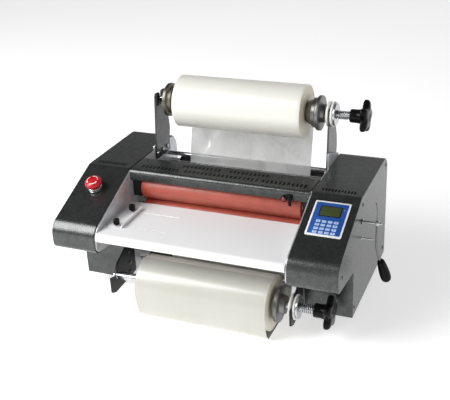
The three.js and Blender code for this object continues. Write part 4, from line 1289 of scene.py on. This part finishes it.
def folds(x, z):
    """Long slanting creases of a slack web: each runs down and outward and widens as it goes."""
    lift = 0.0
    for x0, z0, run, width, height in ((22, 302, 1.7, 9, 2.6), (-72, 318, -0.55, 6, 1.6), (-20, 330, 0.9, 5, -1.2),
                                       (60, 316, 0.5, 7, 1.3), (-108, 300, 0.35, 5, 1.2)):
        drop = z0 - z
        spread = width * (1 + max(0, drop) / 60)
        across = (x - x0 - run * drop) / spread
        start = 1 / (1 + math.exp(-(drop + 6) / 7))
        lift += height * start * math.exp(-across * across)
    return lift


def film(name, path, edges, mat, body, rests_on, *nodes, step=4.0, slack=None, creases=False, sag=None, slant=0):
    """A web that follows a (y, z) path between two edges. slack says how far it ripples, by its share of the
    length, and slant how far its left edge runs in over the second half."""
    path = resampled(path, step)
    along = [0.0]
    for a, b in zip(path, path[1:]):
        along.append(along[-1] + (b - a).length)
    length = along[-1]
    right = edges[1]
    lefts = [edges[0] + slant * max(0, min(1, (s / length - 0.45) / 0.5)) for s in along]
    columns = 110
    verts, faces = [], []
    for p, q, s, left in zip(path, offset(path, 1.0, closed=False), along, lefts):
        play = slack(s / length) if slack else 0.0
        out = q - p
        for k in range(columns + 1):
            x = left + (right - left) * k / columns
            fold = noise.noise(Vector((x * 0.045 + s * 0.028, s * 0.006 - x * 0.004, 3.1)))
            fine = noise.noise(Vector((x * 0.11 - s * 0.05, s * 0.012, 8.2)))
            lift = play * (fold + 0.35 * fine + (folds(x, p.y) if creases else 0))
            y, z = p.x + out.x * lift, p.y + out.y * lift
            verts.append((x, *(sag(x, y, z) if sag else (y, z))))
    n = columns + 1
    for i in range(len(path) - 1):
        faces += [(a, a + 1, a + n + 1, a + n) for a in range(i * n, i * n + columns)]
    if sag:
        runs = [sum((Vector(b) - Vector(a)).length for a, b in zip(verts[k::n], verts[k + n::n])) for k in range(n)]
        length = max(runs)
    web = add_mesh(name, verts, faces, mat, 80)
    put(web, body, "film", *nodes)


ROLL_WEB_R = 56.9       # the film just clear of a full roll
UPPER_GUIDE_R, LOWER_GUIDE_R, ROLLER_WRAP_R = 7.4, 8.5, 27.16
SAG_FRONT_OF, SAG_LENGTH, SAG_BELOW, SAG_DEPTH = -21, 165, 60, 60


def lower_hang(x, y, z):
    """The web under the lower roll hangs clear of it, and lower towards its right edge."""
    if z > SAG_BELOW or y > SAG_FRONT_OF:
        return y, z
    drop = math.sin(math.pi * min(1, max(0, (SAG_FRONT_OF - y) / SAG_LENGTH))) ** 0.6
    skew = 0.35 + 0.65 * (x - LOWER_FACES[0]) / (LOWER_FACES[1] - LOWER_FACES[0])
    lowest = 9.0 - 7.6 * skew
    return y, max(lowest + 0.4 * math.sin(x * 0.03 + y * 0.05), z - SAG_DEPTH * drop)


def ripple(t):
    """How far the upper web leaves its plane: most of it halfway down."""
    return 1.5 * max(0, math.sin(math.pi * min(1, max(0, (t - 0.14) / 0.5))))


def webs():
    idler, low_idler = middle("upper_idler_roller"), middle("lower_idler_roller")
    u = touch((UPPER.y, UPPER.z), ROLL_WEB_R, (idler.y, idler.z), UPPER_GUIDE_R, 1)
    path = arc(UPPER.y, UPPER.z, ROLL_WEB_R, 8, u, 10) + arc(idler.y, idler.z, UPPER_GUIDE_R, u, -92, 14)
    film("upper_web", path + [Vector((60, 209))], UPPER_FACES, "film", "frame",
         ["upper_film_roll", "upper_idler_roller"], "upper_film_web", slack=ripple, creases=True)
    tight = Vector((low_idler.y, low_idler.z - LOWER_GUIDE_R))
    path = arc(LOWER.y, LOWER.z, ROLL_WEB_R, 92, 214, 24)
    start = path[-1]
    path += [start.lerp(tight, k / 30) for k in range(1, 30)]
    path += arc(low_idler.y, low_idler.z, LOWER_GUIDE_R, 270, 370, 8)
    path += [Vector((-11.5, 60)), Vector((-20, 110)), Vector((-32.9, 166))]
    # Its material is the darker copy of the wound film: painted shade under the lower roll.
    film("lower_web", path, LOWER_FACES, "hanging", "frame", ["lower_film_roll", "lower_idler_roller"],
         "lower_film_web", sag=lower_hang)
    top, low = middle("upper_heating_roller"), middle("lower_heating_roller")
    film("upper_wrap", arc(top.y, top.z, ROLLER_WRAP_R, 80, 268, 60), (-168, 176), "roller_film", "roller_carriage",
         ["upper_heating_roller"], step=1.5, slant=30)
    film("lower_wrap", arc(low.y, low.z, ROLLER_WRAP_R, 92, 200, 40), (-150, 176), "roller_film", "frame",
         ["lower_heating_roller"], step=1.5)


webs()


# ------------------------------------------------------------------ studio
def studio_floor():
    mesh = bpy.data.meshes.new("studio_floor")
    mesh.from_pydata([(-9, -6, 0), (9, -6, 0), (9, 12, 0), (-9, 12, 0)], [], [(0, 1, 2, 3)])
    floor = bpy.data.objects.new("studio_floor", mesh)
    bpy.context.scene.collection.objects.link(floor)
    mesh.materials.append(floor_material())


def area_light(name, place, target, size, power):
    data = bpy.data.lights.new(name, "AREA")
    data.shape, data.size, data.size_y = "RECTANGLE", size[0], size[1]
    data.energy = power
    light = bpy.data.objects.new(name, data)
    light.location = place
    light.rotation_euler = (Vector(target) - Vector(place)).to_track_quat("-Z", "Y").to_euler()
    bpy.context.scene.collection.objects.link(light)


def studio_world():
    """Bright round the horizon, dark overhead and to the left, as in a small studio with a black ceiling."""
    world = bpy.data.worlds.new("studio")
    world.use_nodes = True
    tree = world.node_tree
    split = tree.nodes.new("ShaderNodeSeparateXYZ")
    tree.links.new(tree.nodes.new("ShaderNodeTexCoord").outputs["Generated"], split.inputs[0])

    def ramp(socket, low, high, stops):
        span = tree.nodes.new("ShaderNodeMapRange")
        span.inputs["From Min"].default_value, span.inputs["From Max"].default_value = low, high
        tree.links.new(split.outputs[socket], span.inputs["Value"])
        node = tree.nodes.new("ShaderNodeValToRGB")
        tree.links.new(span.outputs[0], node.inputs[0])
        while len(node.color_ramp.elements) < len(stops):
            node.color_ramp.elements.new(0.5)
        for e, (pos, v) in zip(node.color_ramp.elements, stops):
            e.position, e.color = pos, (v, v, v, 1)
        return node.outputs[0]

    height = ramp("Z", 0, 1, ((0.0, 1.0), (0.25, 0.7), (0.5, 0.36), (0.85, 0.1)))
    side = ramp("X", -1, 1, ((0.2, 0.22), (0.42, 1.0)))
    product = tree.nodes.new("ShaderNodeMixRGB")
    product.blend_type = "MULTIPLY"
    product.inputs[0].default_value = 1
    tree.links.new(height, product.inputs[1])
    tree.links.new(side, product.inputs[2])
    tree.links.new(product.outputs[0], tree.nodes["Background"].inputs["Color"])
    bpy.context.scene.world = world


def studio_camera():
    data = bpy.data.cameras.new("camera")
    data.lens, data.sensor_width, data.sensor_fit = 66.46, 36, "HORIZONTAL"
    data.clip_end = 60
    camera = bpy.data.objects.new("camera", data)
    turn = Matrix.Rotation(0.410, 3, "Z") @ Matrix.Rotation(-0.446, 3, "X") @ Matrix.Rotation(0.051, 3, "Y")
    right, forward, up = turn.col
    stand = Matrix.Translation((0.596665, -1.43774, 0.955752))
    camera.matrix_world = stand @ Matrix((right, up, -forward)).transposed().to_4x4()
    bpy.context.scene.collection.objects.link(camera)
    bpy.context.scene.camera = camera


studio_floor()
studio_world()
studio_camera()
area_light("softbox", (-1.62, -1.32, 1.75), (0, 0, 0.2), (1.6, 1.9), 84)
area_light("right", (2.6, -0.6, 0.7), (0.2, 0, 0.15), (1.2, 1.0), 4)
bpy.context.scene.view_settings.view_transform = "Standard"
bpy.context.scene.view_settings.look = "None"
